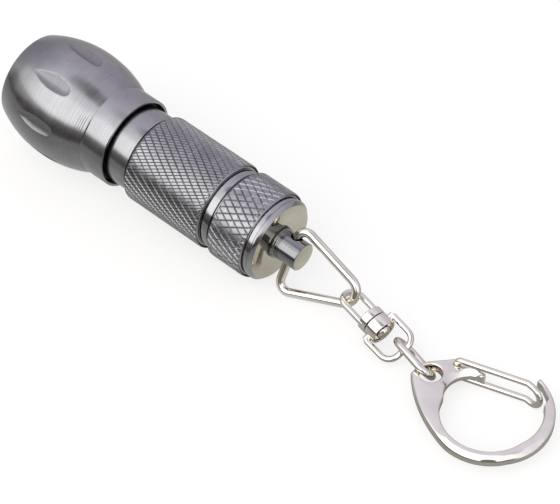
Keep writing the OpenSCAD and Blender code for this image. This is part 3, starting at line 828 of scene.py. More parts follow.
@dataclass
class Knurl:
    """A diamond knurl round a grip, made of small pyramids with Geometry Nodes.

    A knurl that is split in two has two thin diamonds in each cell.
    """

    radius: float
    start: float
    end: float
    split: int = 2
    bevel: Point = (0.1, 0.12)
    depth: float = 0.18
    around: int = 40
    row_mm: float = 1.04
    flat: float = 0.74
    rim: Point = (0.08, 0.5)
    rim_drop: float = 0.02
    rim_bevel: float = 0.06
    core_drop: float = 0.01
    relief: Point = (0.7, 0.5)
    relief_bevel: float = 0.05

    # The group's sums in order: a new name, an operation and its two terms, names or numbers
    sums: ClassVar[tuple[tuple, ...]] = (
        # Which part of which cell a diamond fills, counted round each row in turn
        ("more", "SUBTRACT", "Split", 1.0),
        ("middle", "MULTIPLY", "more", 0.5),
        ("part", "MODULO", "Index", "Split"),
        ("half", "SUBTRACT", "part", "middle"),
        ("cells", "DIVIDE", "Index", "Split"),
        ("cell", "FLOOR", "cells", 0.0),
        ("rounds", "DIVIDE", "cell", "Around"),
        ("row", "FLOOR", "rounds", 0.0),
        # Its angle, with each row half a cell on from the one before
        ("stagger", "MULTIPLY", "row", 0.5),
        ("aside", "MULTIPLY", "half", 0.25),
        ("shift", "ADD", "stagger", "aside"),
        ("place", "MODULO", "cell", "Around"),
        ("column", "ADD", "place", "shift"),
        ("arc", "MULTIPLY", "column", math.tau),
        ("turn", "DIVIDE", "arc", "Around"),
        # Its spot on the floor of the knurl, the number of diamonds and their size
        ("gaps", "SUBTRACT", "Rows", 1.0),
        ("pitch", "DIVIDE", "Length", "gaps"),
        ("lift", "MULTIPLY", "half", 0.5),
        ("level", "ADD", "row", "lift"),
        ("climb", "MULTIPLY", "level", "pitch"),
        ("spot_z", "ADD", "Start", "climb"),
        ("floor", "SUBTRACT", "Radius", "Depth"),
        ("cos", "COSINE", "turn", 0.0),
        ("sin", "SINE", "turn", 0.0),
        ("spot_x", "MULTIPLY", "floor", "cos"),
        ("spot_y", "MULTIPLY", "floor", "sin"),
        ("all_cells", "MULTIPLY", "Around", "Rows"),
        ("count", "MULTIPLY", "all_cells", "Split"),
        ("girth", "MULTIPLY", "floor", math.pi),
        ("half_width", "DIVIDE", "girth", "Around"),
        # The skew that makes a thin diamond of a square one
        ("slide", "MULTIPLY", "more", 0.25),
        ("keep", "SUBTRACT", 1.0, "slide"),
        ("keep_x", "MULTIPLY", "X", "keep"),
        ("slide_y", "MULTIPLY", "Y", "slide"),
        ("skew_x", "ADD", "keep_x", "slide_y"),
        ("keep_y", "MULTIPLY", "Y", "keep"),
        ("slide_x", "MULTIPLY", "X", "slide"),
        ("skew_y", "ADD", "keep_y", "slide_x"),
        # How far the bevelled ends of the knurl draw a point in
        ("last", "ADD", "Start", "Length"),
        ("behind", "MAXIMUM", "Z", "Start"),
        ("station", "MINIMUM", "behind", "last"),
        ("from_start", "SUBTRACT", "station", "Start"),
        ("front", "SUBTRACT", "from_start", "Front"),
        ("from_last", "SUBTRACT", "last", "station"),
        ("rear", "SUBTRACT", "from_last", "Rear"),
        ("nearer", "MINIMUM", "front", "rear"),
        ("edge", "MINIMUM", "nearer", 0.0),
        ("limit", "ADD", "Radius", "edge"),
        ("square_x", "MULTIPLY", "X", "X"),
        ("square_y", "MULTIPLY", "Y", "Y"),
        ("square", "ADD", "square_x", "square_y"),
        ("reach", "SQRT", "square", 0.0),
        ("share", "DIVIDE", "limit", "reach"),
        ("draw_in", "MINIMUM", "share", 1.0),
        ("trim_x", "MULTIPLY", "X", "draw_in"),
        ("trim_y", "MULTIPLY", "Y", "draw_in"),
    )
    # Vectors that are put together from the sums
    vectors: ClassVar[dict[str, tuple]] = {
        "spot": ("spot_x", "spot_y", "spot_z"),
        "skewed": ("skew_x", "skew_y", "Z"),
        "facing": (0.0, math.pi / 2, "turn"),
        "size": ("pitch", "half_width", "Depth"),
        "trimmed": ("trim_x", "trim_y", "station"),
    }
    # One pyramid of unit size, a little taller than the knurl is deep
    pyramid: ClassVar[dict[str, float]] = {
        "Vertices": 4,
        "Fill Segments": 2,
        "Radius Bottom": 1.0,
        "Depth": 1.1,
    }

    def tree(self) -> bpy.types.NodeTree:
        """Builds and returns the node group that lays the diamonds and trims their ends."""
        inputs = {"Seed": "Geometry"} | dict.fromkeys(("Around", "Rows", "Split"), "Int")
        lengths = ("Radius", "Start", "Length", "Depth", "Front", "Rear", "Flat")
        inputs |= dict.fromkeys(lengths, "Float") | {"Finish": "Material"}
        group = node_group("diamond_knurl", inputs, "Knurl")
        given = add(group, "NodeGroupInput").outputs
        here = add(group, "GeometryNodeInputPosition").outputs["Position"]
        parts = add(group, "ShaderNodeSeparateXYZ", {"Vector": here}).outputs
        known = {name: given[name] for name in inputs} | {axis: parts[axis] for axis in "XYZ"}
        known["Index"] = add(group, "GeometryNodeInputIndex").outputs["Index"]
        for name, operation, *terms in self.sums:
            links = {i: known.get(term, term) for i, term in enumerate(terms)}
            known[name] = add(group, "ShaderNodeMath", links, operation=operation).outputs["Value"]
        for name, terms in self.vectors.items():
            links = {axis: known.get(term, term) for axis, term in zip("XYZ", terms)}
            known[name] = add(group, "ShaderNodeCombineXYZ", links).outputs["Vector"]

        links = {"Count": known["count"], "Position": known["spot"]}
        points = add(group, "GeometryNodePoints", links)
        links = self.pyramid | {"Radius Top": given["Flat"]}
        diamond = add(group, "GeometryNodeMeshCone", links, fill_type="TRIANGLE_FAN")
        links = {"Geometry": diamond.outputs["Mesh"], "Position": known["skewed"]}
        diamond = add(group, "GeometryNodeSetPosition", links)
        facing = add(group, "FunctionNodeEulerToRotation", {"Euler": known["facing"]})
        laid = add(
            group,
            "GeometryNodeInstanceOnPoints",
            {
                "Points": points.outputs["Points"],
                "Instance": diamond.outputs["Geometry"],
                "Rotation": facing.outputs["Rotation"],
                "Scale": known["size"],
            },
        )
        real = add(group, "GeometryNodeRealizeInstances", {"Geometry": laid.outputs["Instances"]})
        links = {"Geometry": real.outputs["Geometry"], "Position": known["trimmed"]}
        cut = add(group, "GeometryNodeSetPosition", links)
        links = {"Geometry": cut.outputs["Geometry"], "Material": given["Finish"]}
        dressed = add(group, "GeometryNodeSetMaterial", links)
        add(group, "NodeGroupOutput", {"Knurl": dressed.outputs["Geometry"]})
        return group

    def mesh(self, name: str, finish: bpy.types.Material) -> bpy.types.Mesh:
        """Makes the knurl.

        Args:
            name: name of the mesh.
            finish: material.

        Returns:
            The knurl as a plain mesh in the light's frame.
        """
        length = self.end - self.start
        values = {
            "Around": self.around,
            "Rows": round(length / self.row_mm) + 1,
            "Radius": self.radius * MM,
            "Start": self.start * MM,
            "Length": length * MM,
            "Depth": self.depth * MM,
            "Split": self.split,
            "Front": self.bevel[0] * MM,
            "Rear": self.bevel[1] * MM,
            "Flat": self.flat,
            "Finish": finish,
        }
        return smoothed(grown(name, bpy.data.meshes.new(name + "_seed"), self.tree(), values))

    def seat(self, r: float) -> list[Point]:
        """Returns the profile under the knurl, with its relief groove and its two rims.

        Args:
            r: radius of the plain metal before the groove.

        Returns:
            Radius and station of each corner.
        """
        core, top = self.radius - self.depth - self.core_drop, self.radius - self.rim_drop
        front, rear = self.rim
        width, deep = self.relief
        return [
            (r, self.start - width),
            (r - deep, self.start - width + self.relief_bevel),
            (r - deep, self.start),
            (top - front, self.start),
            (top, self.start + front),
            (core, self.start + front + self.rim_bevel),
            (core, self.end - rear - self.rim_bevel),
            (top, self.end - rear),
            (top - rear, self.end),
        ]


@dataclass
class Head:
    """The swelling, fluted head with its collar."""

    peak_r: float = 10.095
    peak_at: float = 9.6
    rim_r: float = 7.8
    rim_in: float = 0.5
    rim_round: Point = (0.25, 0.22)
    bulb_len: float = 18.4
    bulb_end_r: float = 8.15
    step_w: float = 0.16
    collar_r: float = 8.0
    collar_end: float = 23.1
    corner_r: float = 0.15
    corner_steps: int = 3
    window_r: float = 5.9
    lip: float = 1.2
    bore_r: float = 6.75
    thread_r: float = 6.8
    thread_at: float = 16.5
    counterbore_r: float = 7.525
    counterbore_at: float = 19.7
    flutes: int = 8
    flute_r: float = 2.1
    flute_depth: float = 0.5
    flute_rear: float = 12.5
    flute_rise: float = 0.6
    flute_turn: float = 30.4
    flute_lean: float = 1.25
    flute_taper: Point = (4.5, 9.5)
    flute_point: float = 0.15
    # Where the cutter doesn't reach, it is taken to stand this far outside its middle
    flute_clear: float = 1.0
    # A face that lies between these depths under the plain bulb is milled
    flute_mark: Point = (0.02, 1.0)
    feather: float = 0.15
    feather_from: float = 7.5
    feather_run: float = 2.0
    edge_round: float = 0.04
    groove_at: tuple[float, ...] = (16.85, 17.2, 17.55, 17.9)
    groove_w: float = 0.07
    groove_d: float = 0.025
    segments: int = 480
    rim_run: float = 0.5
    rim_rows: int = 7
    # First station and row spacing of each stretch of the bulb behind the rim
    stretches: tuple[Point, ...] = ((0.6, 0.2), (12.0, 0.11), (16.4, 0.05))

    def bulb(self, t: np.ndarray) -> np.ndarray:
        """Returns the radius of the plain bulb at each station, with its turned grooves."""
        ahead = t < self.peak_at
        run = np.where(ahead, self.peak_at, self.bulb_len - self.peak_at)
        drop = np.where(ahead, self.peak_r - self.rim_r, self.peak_r - self.bulb_end_r)
        curve = (run**2 + drop**2) / (2 * drop)
        r = self.peak_r - curve + np.sqrt(curve**2 - (t - self.peak_at) ** 2)
        for at in self.groove_at:
            r = r - self.groove_d * np.exp(-(((t - at) / self.groove_w) ** 2))
        width, deep = self.rim_round
        return r - deep * np.clip(1 - t / width, 0, 1) ** 2

    def skin(self, t: np.ndarray, turn: np.ndarray) -> np.ndarray:
        """Cuts the flutes into the bulb.

        Args:
            t: stations, one column.
            turn: angles round the axis, one row.

        Returns:
            Radius at each station and angle.
        """
        bulb = self.bulb(t)
        period = math.tau / self.flutes
        off = (turn - math.radians(self.flute_turn) + period / 2) % period - period / 2
        off = np.where(off < 0, off / self.flute_lean, off)
        front = np.maximum(self.flute_rear - t, 0)
        behind = np.maximum(t - self.flute_rear, 0)
        point, full = self.flute_taper
        cutter_r = self.flute_r * np.clip((t - point) / (full - point), self.flute_point, 1)
        rise = front * math.tan(math.radians(self.flute_rise))
        middle = self.peak_r - self.flute_depth + cutter_r + rise
        round_r = np.sqrt(np.maximum(cutter_r**2 - behind**2, 0))
        inside = round_r**2 - (middle * np.sin(off)) ** 2
        out = np.where(inside > 0, -np.sqrt(np.maximum(inside, 0)), self.flute_clear)
        gap = bulb - (middle * np.cos(off) + out)
        deep = (gap + np.sqrt(gap**2 + self.edge_round**2)) / 2
        faint = np.maximum(-off * self.peak_r, (self.feather_from - t) / self.feather_run)
        return bulb - deep**2 / (deep + self.feather * np.clip(faint, 0, 1))

    def build(self) -> bpy.types.Mesh:
        """Returns the head shell as one closed mesh, with its flutes as a second material."""
        turn = np.linspace(0, math.tau, self.segments, endpoint=False)
        ends = [start for start, _ in self.stretches[1:]] + [self.bulb_len]
        runs = [np.arange(start, end, mm) for (start, mm), end in zip(self.stretches, ends)]
        rim = np.linspace(0, self.rim_run, self.rim_rows)
        t = np.unique(np.round(np.concatenate([rim, *runs, [self.bulb_len]]), 4))
        rear = [
            (self.collar_r, self.bulb_len + self.step_w),
            (self.collar_r, self.collar_end),
            (self.counterbore_r, self.collar_end),
            (self.counterbore_r, self.counterbore_at),
            (self.thread_r, self.counterbore_at),
            (self.thread_r, self.thread_at),
            (self.bore_r, self.thread_at),
            (self.bore_r, self.lip),
            (self.window_r, self.lip),
            (self.window_r, 0.0),
            (self.rim_r - self.rim_in, 0.0),
        ]
        rows = list(zip(self.skin(t[:, None], turn[None, :]), t))
        for r, z in rounded(rear, self.corner_r, self.corner_steps, False):
            rows.append((np.full(self.segments, r), z))
        points, faces = [], []
        for i, (r, z) in enumerate(rows):
            ring = [r * np.cos(turn), r * np.sin(turn), np.full(self.segments, z)]
            points.append(np.stack(ring, 1))
            low, high = i * self.segments, (i + 1) % len(rows) * self.segments
            faces += joined(low, high, self.segments)
        mesh = mesh_from("head_shell_turned", np.concatenate(points), faces)
        least, most = self.flute_mark
        for face in mesh.polygons:
            x, y, z = face.center / MM
            cut = self.bulb(np.array(z)) - math.hypot(x, y)
            face.material_index = int(least < cut < most and z < self.flute_rear + self.flute_r)
        return mesh


@dataclass
class Barrel:
    """The battery tube: thread, seal groove, smooth neck and knurled grip."""

    front: float = 17.15
    bore_r: float = 6.1
    thread_r: float = 6.75
    neck_from: float = 20.45
    neck_bevel: float = 0.2
    neck_r: float = 6.975
    groove_r: float = 6.475
    groove: Point = (21.0, 22.2)
    grip: Knurl = field(default_factory=lambda: Knurl(7.75, 27.95, 43.55))
    tail_thread_r: float = 6.8
    tail_thread_at: float = 39.65
    corner_r: float = 0.04
    corner_steps: int = 2
    segments: int = 160

    def build(self) -> bpy.types.Mesh:
        """Returns the tube under the knurl."""
        profile = [
            (self.bore_r, self.front),
            (self.thread_r, self.front),
            (self.thread_r, self.neck_from),
            (self.neck_r, self.neck_from + self.neck_bevel),
            (self.neck_r, self.groove[0]),
            (self.groove_r, self.groove[0]),
            (self.groove_r, self.groove[1]),
            (self.neck_r, self.groove[1]),
            *self.grip.seat(self.neck_r),
            (self.tail_thread_r, self.grip.end),
            (self.tail_thread_r, self.tail_thread_at),
            (self.bore_r, self.tail_thread_at),
        ]
        profile = rounded(profile, self.corner_r, self.corner_steps)
        return lathe("barrel_turned", profile, self.segments)


@dataclass
class TailCap:
    """The knurled cap with its threaded spigot and polished face."""

    floor: float = 50.23
    bore_r: float = 5.3
    mouth_r: float = 6.1
    mouth_to: float = 41.74
    spigot_r: float = 6.75
    spigot_at: float = 39.95
    groove_r: float = 5.98
    groove: Point = (42.19, 43.11)
    shoulder: float = 43.57
    ring_r: float = 7.05
    grip: Knurl = field(default_factory=lambda: Knurl(7.75, 45.95, 52.6, 1))
    end_r: float = 7.18
    face_at: float = 54.53
    face_bevel: float = 0.5
    face_depth: float = 0.02
    stem_r: float = 1.6
    stem_at: float = 51.23
    thread_pitch: float = 0.75
    thread_depth: float = 0.22
    thread_form: Point3 = (0.1, 0.4, 0.5)
    line_w: float = 0.12
    first_line_d: float = 0.12
    last_line_d: float = 0.08
    last_line_in: float = 0.35
    line_bevel: float = 0.03
    corner_r: float = 0.06
    corner_steps: int = 2
    segments: int = 160

    def build(self) -> bpy.types.Mesh:
        """Returns the cap under the knurl, with its face as a second material."""
        low, high, end = self.spigot_r - self.thread_depth, self.spigot_r, self.grip.end
        thread = []
        for i in range(int((self.groove[0] - self.spigot_at) / self.thread_pitch)):
            at = self.spigot_at + i * self.thread_pitch
            thread += [(r, at + mm) for r, mm in zip((low, high, high), self.thread_form)]
        line = self.face_at - self.face_bevel - self.last_line_in
        profile = [
            (0.0, self.floor),
            (self.bore_r, self.floor),
            (self.bore_r, self.mouth_to),
            (self.mouth_r, self.mouth_to),
            (self.mouth_r, self.spigot_at),
            (low, self.spigot_at),
            *thread,
            (high, self.groove[0]),
            (self.groove_r, self.groove[0]),
            (self.groove_r, self.groove[1]),
            (high, self.groove[1]),
            (high, self.shoulder),
            (self.ring_r, self.shoulder),
            *self.grip.seat(self.ring_r),
            (self.end_r - self.first_line_d, end),
            (self.end_r - self.first_line_d, end + self.line_w),
            (self.end_r, end + self.line_w),
            (self.end_r, line),
            (self.end_r - self.last_line_d, line + self.line_bevel),
            (self.end_r - self.last_line_d, line + self.line_w),
            (self.end_r, line + self.line_w + self.line_bevel),
            (self.end_r, self.face_at - self.face_bevel),
            (self.end_r - self.face_bevel, self.face_at),
            (self.stem_r, self.face_at),
            (self.stem_r, self.stem_at),
            (0.0, self.stem_at),
        ]
        profile = rounded(profile, self.corner_r, self.corner_steps, False)
        mesh = lathe("tail_cap_turned", profile, self.segments, False)
        for face in mesh.polygons:
            face.material_index = int(face.center.z > (self.face_at - self.face_depth) * MM)
        return mesh


@dataclass
class LanyardPost:
    """The drilled post on the tail face."""

    post_r: float = 2.42
    flange_r: float = 2.75
    flange_t: float = 0.5
    flange_lift: float = 0.005
    stem_r: float = 1.59
    stem_from: float = 51.23
    face_at: float = 54.53
    end: float = 59.34
    end_depth: float = 0.01
    hole_r: float = 1.05
    hole_at: float = 57.06
    hole_turn: float = 63.5
    drill_half: float = 6.0
    corner_r: float = 0.2
    segments: int = 96
    drill_segments: int = 64

    def build(self) -> bpy.types.Mesh:
        """Returns the turned post with its cross hole drilled, its end a second material."""
        foot = self.face_at + self.flange_lift
        profile = [
            (0.0, self.stem_from),
            (self.stem_r, self.stem_from),
            (self.stem_r, foot),
            (self.flange_r, foot),
            (self.flange_r, self.face_at + self.flange_t),
            (self.post_r, self.face_at + self.flange_t),
            (self.post_r, self.end),
            (0.0, self.end),
        ]
        profile = rounded(profile, self.corner_r, closed=False)
        post = lathe("lanyard_post_turned", profile, self.segments, False)
        low, high = -self.drill_half, self.drill_half
        bit = [(0.0, low), (self.hole_r, low), (self.hole_r, high), (0.0, high)]
        drill = lathe("drill", bit, self.drill_segments, False)
        spot = Matrix.Translation((0, 0, self.hole_at * MM))
        drill.transform(spot @ turned(self.hole_turn, "Z") @ turned(90, "X"))
        mesh = tidied(cut_from(post, drill))
        for face in mesh.polygons:
            face.material_index = int(face.center.z > (self.end - self.end_depth) * MM)
        return mesh


@dataclass
class TailSpring:
    """The coil between the last cell and the cap's floor."""

    wire: float = 0.7
    middle_r: float = 4.0
    start: float = 39.29
    end: float = 49.86
    turns: int = 7
    steps: int = 28
    # The cells' longer travel, in either direction
    cell_back: float = 1.5

    def build(self, maker: BarMaker, finish: bpy.types.Material) -> bpy.types.Mesh:
        """Returns the coil as one wire."""
        count = self.turns * self.steps + 1
        path = []
        for f in np.linspace(0, 1, count):
            at = self.start + (self.end - self.start) * f
            path.append((*polar(self.middle_r, 360 * self.turns * f), at))
        return maker.wire("tail_spring_wound", path, [0.0] * count, self.wire, finish)

    def press(self, coil: bpy.types.Object) -> None:
        """Gives the placed coil a mesh of its own.

        Args:
            coil: the coil, already placed.
        """
        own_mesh(coil)


@dataclass
class TailRing:
    """The triangular wire ring in the post's hole."""

    wire: float = 1.5
    base: float = 12.2
    height: float = 17.0
    corner_r: float = 1.6
    apex_r: float = 2.3
    slid: float = 1.42

    def build(self, maker: BarMaker, finish: bpy.types.Material) -> bpy.types.Mesh:
        """Returns the ring in its own frame: Y along the hole, Z along its middle."""
        half, off = self.base / 2, self.slid
        corners = [(0, -half - off, 0), (0, half - off, 0), (0, -off, self.height)]
        bends = [self.corner_r, self.corner_r, self.apex_r]
        return maker.wire("tail_ring_bent", corners, bends, self.wire, finish, True)


@dataclass
class Swivel:
    """The eye, the bow and the rivet that joins them, along X from the eye's end bar."""

    bar_w: float = 0.95
    bar_h: float = 1.0
    bar_round: float = 0.38
    bow_round: float = 0.42
    eye_w: float = 4.6
    eye_len: float = 6.7
    eye_disc_t: float = 1.4
    disc_r: float = 2.25
    disc_gap: float = 0.15
    disc_round: float = 0.2
    disc_segments: int = 72
    bow_disc_t: float = 1.6
    bow_w: float = 6.6
    bow_shoulder_w: float = 6.7
    bow_len: float = 6.95
    bow_bend_r: float = 1.9
    shoulder_r: float = 0.3
    boss_round: float = 0.18
    rivet_r: float = 0.8
    rivet_fit: float = 0.01
    rivet_play: float = 0.05
    rivet_head_r: float = 1.25
    rivet_head_h: float = 1.5
    rivet_bevel: float = 0.5
    rivet_round: float = 0.35
    rivet_steps: int = 5
    rivet_segments: int = 64
    recess: float = 0.6
    recess_r: float = 1.85
    cup: float = 0.55
    cup_wall: float = 0.2
    lug_t: float = 1.2
    lug_past: float = 0.05
    eye_roll: float = -10.0
    bow_roll: float = 24.0

    @property
    def bow_at(self) -> float:
        """Station of the front of the bow's disc."""
        return self.eye_len + self.disc_gap

    @property
    def bow_back(self) -> float:
        """Station of the back of the bow's disc."""
        return self.bow_at + self.bow_disc_t

    def along(self, mesh: bpy.types.Mesh) -> bpy.types.Mesh:
        """Lays a turned mesh along X and returns it."""
        mesh.transform(turned(90, "Y"))
        return mesh

    def eye(self, maker: BarMaker, finish: bpy.types.Material) -> bpy.types.Mesh:
        """Returns the eye: a U of bar on a disc."""
        r = (self.eye_w - self.bar_w) / 2
        front, back = self.eye_len - self.eye_disc_t, self.eye_len - self.eye_disc_t / 2
        corners = [(back, -r, 0), (0, -r, 0), (0, r, 0), (back, r, 0)]
        size = (self.bar_w, self.bar_h)
        loop = maker.bar("eye_loop", corners, [0, r, r, 0], size, self.bar_round, finish)
        profile = [
            (self.rivet_r, front),
            (self.disc_r, front),
            (self.disc_r, self.eye_len),
            (self.rivet_r, self.eye_len),
        ]
        disc = lathe("eye_disc", rounded(profile, self.disc_round), self.disc_segments)
        return tidied(loop, self.along(disc))

    def rivet(self) -> bpy.types.Mesh:
        """Returns the rivet with its domed head."""
        foot = self.eye_len - self.eye_disc_t
        head = self.bow_back - self.recess + self.disc_gap
        top = head + self.rivet_head_h
        profile = [
            (0.0, foot),
            (self.rivet_r - self.rivet_fit, foot),
            (self.rivet_r - self.rivet_fit, head),
            (self.rivet_head_r, head),
            (self.rivet_head_r, top - self.rivet_bevel),
            (self.rivet_head_r - self.rivet_bevel, top),
            (0.0, top),
        ]
        profile = rounded(profile, self.rivet_round, self.rivet_steps, False)
        return self.along(lathe("swivel_rivet_turned", profile, self.rivet_segments, False))

    def bow(self, maker: BarMaker, finish: bpy.types.Material) -> bpy.types.Mesh:
        """Returns the bow: a stirrup of bar on a recessed boss."""
        r, shoulder = (self.bow_w - self.bar_w) / 2, (self.bow_shoulder_w - self.bar_w) / 2
        at, end = self.bow_back - self.bar_w / 2, self.bow_at + self.bow_len - self.bar_w / 2
        inner, outer = self.recess_r + self.cup_wall, shoulder + self.lug_past
        half = [(at, inner, 0), (at, shoulder, 0), (end, r, 0)]
        path = [(x, -y, z) for x, y, z in half] + half[::-1]
        bends = [0, self.shoulder_r, self.bow_bend_r]
        bends += bends[::-1]
        size, corner = (self.bar_w, self.bar_h), self.bow_round
        bars = [maker.bar("bow_stirrup", path, bends, size, corner, finish)]
        lug_at, size = self.bow_back - self.lug_t / 2, (self.lug_t, self.bar_h)
        for side in (-1, 1):
            path = [(lug_at, side * inner, 0), (lug_at, side * outer, 0)]
            bars.append(maker.bar("bow_lug", path, [0, 0], size, corner, finish))
        profile = [
            (self.rivet_r + self.rivet_play, self.bow_at),
            (self.disc_r, self.bow_at),
            (self.disc_r, self.bow_back + self.cup),
            (self.recess_r, self.bow_back + self.cup),
            (self.recess_r, self.bow_back - self.recess),
            (self.rivet_r + self.rivet_play, self.bow_back - self.recess),
        ]
        boss = lathe("bow_boss", rounded(profile, self.boss_round), self.disc_segments)
        return tidied(*bars, self.along(boss))


@dataclass
class OvalLink:
    """The oval wire link between the swivel and the clip."""

    wire: float = 1.2
    length: float = 9.4
    width: float = 5.4
    yaw: float = -17.0
    lean: float = 37.0

    @property
    def end(self) -> float:
        """Distance from the middle of the link to the middle of its end wire."""
        return (self.length - self.wire) / 2

    @property
    def half(self) -> float:
        """Half the distance between the middles of its two runs."""
        return (self.width - self.wire) / 2

    @property
    def height(self) -> float:
        """Height of its middle over the table."""
        return self.wire / 2 + self.half * math.cos(math.radians(self.lean))

    def build(self, maker: BarMaker, finish: bpy.types.Material) -> bpy.types.Mesh:
        """Returns the link in its own frame, upright in XZ."""
        e, h = self.end, self.half
        corners = [(-e, 0, -h), (e, 0, -h), (e, 0, h), (-e, 0, h)]
        return maker.wire("oval_link_bent", corners, [h] * 4, self.wire, finish, True)


@dataclass
class SnapClip:
    """The flat cast hook and its sprung wire gate, with the hook's centre at the origin."""

    thick: float = 1.8
    hook_r: float = 7.25
    hook_fit: float = 0.005
    band_w: float = 1.68
    reach: float = 11.4
    hole_r: float = 1.8
    hole_rim: float = 0.6
    pivot: Point = (-9.65, 4.15)
    pivot_rim: float = 1.15
    pivot_hole_r: float = 0.55
    ear: Point = (-5.5, 5.2)
    ear_r: float = 0.5
    pocket: Point = (-4.2, 1.1)
    pocket_r: float = 4.15
    # Angles, steps and lift of the nose, and the share of it that the band's bevel takes
    nose_angles: Point = (-30.0, 83.0)
    nose_steps: int = 28
    nose_lift: float = 1.89
    nose_band: float = 0.35
    # The same for the side up to the link's hole, which ends outside the hole's rim
    side_angles: Point = (262.0, 222.0)
    side_steps: int = 35
    side_out: float = 0.6
    side_band: float = 0.07
    bulge: float = 1.0
    lip_angles: Point = (-8.0, 54.0)
    lip_steps: int = 16
    lip_lift: float = 1.4
    # Lift and angle of the corner where the lip meets the tip
    tip: Point = (2.45, 61.0)
    tip_lift: float = 2.85
    edge_steps: int = 6
    # Least share that a corner's offset is divided by
    least_lean: float = 0.5
    yaw: float = -3.0
    wire: float = 1.0
    leg_z: float = 1.8
    leg_in: float = 0.15
    kink_lift: float = 0.74
    kink_at: float = 82.3
    kink_r: float = 1.2
    tip_run: float = 0.9
    tip_heading: float = -5.0
    bend_r: float = 0.7

    def arc(
        self, centre: Point, r: float, start: float, end: float, steps: int, edge: Edge
    ) -> list[tuple]:
        """Returns points on an arc as x, y and the rounding of the edge there."""
        angles = [start + (end - start) * i / steps for i in range(steps + 1)]
        return [(*polar(r, angle, centre), edge) for angle in angles]

    def outline(self) -> list[tuple]:
        """Returns the outline of the frame as one closed loop of x, y and edge rounding."""
        centre, hole = (0.0, 0.0), (-self.reach, 0.0)
        band_r, rim = self.hook_r + self.band_w, self.hole_r + self.hole_rim
        out: list[tuple] = []
        # From the nose round the bevelled band
        first, last = self.nose_angles
        for f in np.linspace(1, 0, self.nose_steps + 1):
            edge = Edge.PLATE if f > self.nose_band else Edge.BAND
            out.append((*polar(band_r + self.nose_lift * f, first + (last - first) * f), edge))
        out += self.arc(centre, band_r, -32, -97, 26, Edge.BAND)
        # Up the side to the link's hole, the gate's pivot and the ear
        start = np.array(polar(band_r, self.side_angles[0]))
        run = np.array(polar(rim + self.side_out, self.side_angles[1], hole)) - start
        side = np.array((-run[1], run[0])) / np.linalg.norm(run)
        for f in np.linspace(0, 1, self.side_steps + 1)[1:]:
            x, y = start + f * run + 4 * f * (1 - f) * self.bulge * side
            out.append((x, y, Edge.BAND if f < self.side_band else Edge.PLATE))
        out += self.arc(hole, rim, 185, 140, 8, Edge.PLATE)
        out += self.arc(self.pivot, self.pivot_rim, 130, 80, 8, Edge.PLATE)
        out += self.arc(self.ear, self.ear_r, 95, -70, 12, Edge.TIP)
        # Back inside, through the pocket and the hook to the tip
        out += self.arc(self.pocket, self.pocket_r, 119, 195, 22, Edge.POCKET)
        out += self.arc(self.pocket, self.pocket_r, 198, 222, 8, Edge.INNER)
        out += self.arc(centre, self.hook_r + self.hook_fit, 198, 352, 60, Edge.INNER)
        first, last = self.lip_angles
        for f in np.linspace(0, 1, self.lip_steps + 1)[1:]:
            lip_r = self.hook_r + self.lip_lift * f
            out.append((*polar(lip_r, first + (last - first) * f), Edge.INNER))
        out.append((*polar(self.hook_r + self.tip[0], self.tip[1]), Edge.TIP))
        return out + self.arc(centre, self.hook_r + self.tip_lift, 75, 82.5, 3, Edge.TIP)

    def frame(self) -> bpy.types.Mesh:
        """Returns the cast frame with rounded edges and its two holes."""
        loops = [
            self.outline(),
            self.arc((-self.reach, 0.0), self.hole_r, 0, 352.5, 47, Edge.HOLE),
            self.arc(self.pivot, self.pivot_hole_r, 0, 348, 29, Edge.PIN),
        ]
        points: list[Point3] = []
        faces: list[tuple[int, ...]] = []
        rims: list[tuple[range, range]] = []
        for loop in loops:
            flat = np.array([(x, y) for x, y, _ in loop])
            ahead, back = np.roll(flat, -1, 0) - flat, flat - np.roll(flat, 1, 0)
            ahead /= np.linalg.norm(ahead, axis=1)[:, None]
            back /= np.linalg.norm(back, axis=1)[:, None]
            along = ahead + back
            along /= np.linalg.norm(along, axis=1)[:, None]
            inward = np.stack([along[:, 1], -along[:, 0]], 1)
            lean = np.clip((along * ahead).sum(1), self.least_lean, 1)
            first, count = len(points), len(flat)
            upper = [edge for _, _, edge in loop]
            for half, edges in ((-1, [edge.under() for edge in upper]), (1, upper)):
                shape = np.array([edge.profile(self.edge_steps) for edge in edges])
                shape = (np.roll(shape, 1, 0) + 2 * shape + np.roll(shape, -1, 0)) / 4
                for step in range(self.edge_steps + 1)[::-half]:
                    spot = flat + (shape[:, step, 0] / lean)[:, None] * inward
                    height = half * (self.thick / 2 - shape[:, step, 1])
                    points += [(x, y, z) for (x, y), z in zip(spot, height)]
            last = len(points) - count
            for low in range(first, last, count):
                faces += joined(low, low + count, count)
            rims.append((range(first, first + count), range(last, last + count)))
        for rings in zip(*rims):
            numbers = [i for ring in rings for i in ring]
            corners = [[Vector(points[i]) for i in ring] for ring in rings]
            for triangle in tessellate_polygon(corners):
                faces.append(tuple(numbers[i] for i in triangle))
        return mesh_from("clip_frame_cast", np.array(points), faces)

    def gate(self, maker: BarMaker, finish: bpy.types.Material) -> bpy.types.Mesh:
        """Returns the gate: one bent wire with its two ends in the pivot hole."""
        z = self.leg_z
        kink = polar(self.hook_r + self.kink_lift, self.kink_at)
        tip = polar(self.tip_run + z, self.tip_heading, kink)
        half = [(*self.pivot, self.leg_in), (*self.pivot, z), (*kink, z), (*tip, z)]
        path = half + [(x, y, -up) for x, y, up in half[::-1]]
        bends = [0, self.bend_r, self.kink_r, z]
        return maker.wire("clip_gate_bent", path, bends + bends[::-1], self.wire, finish)


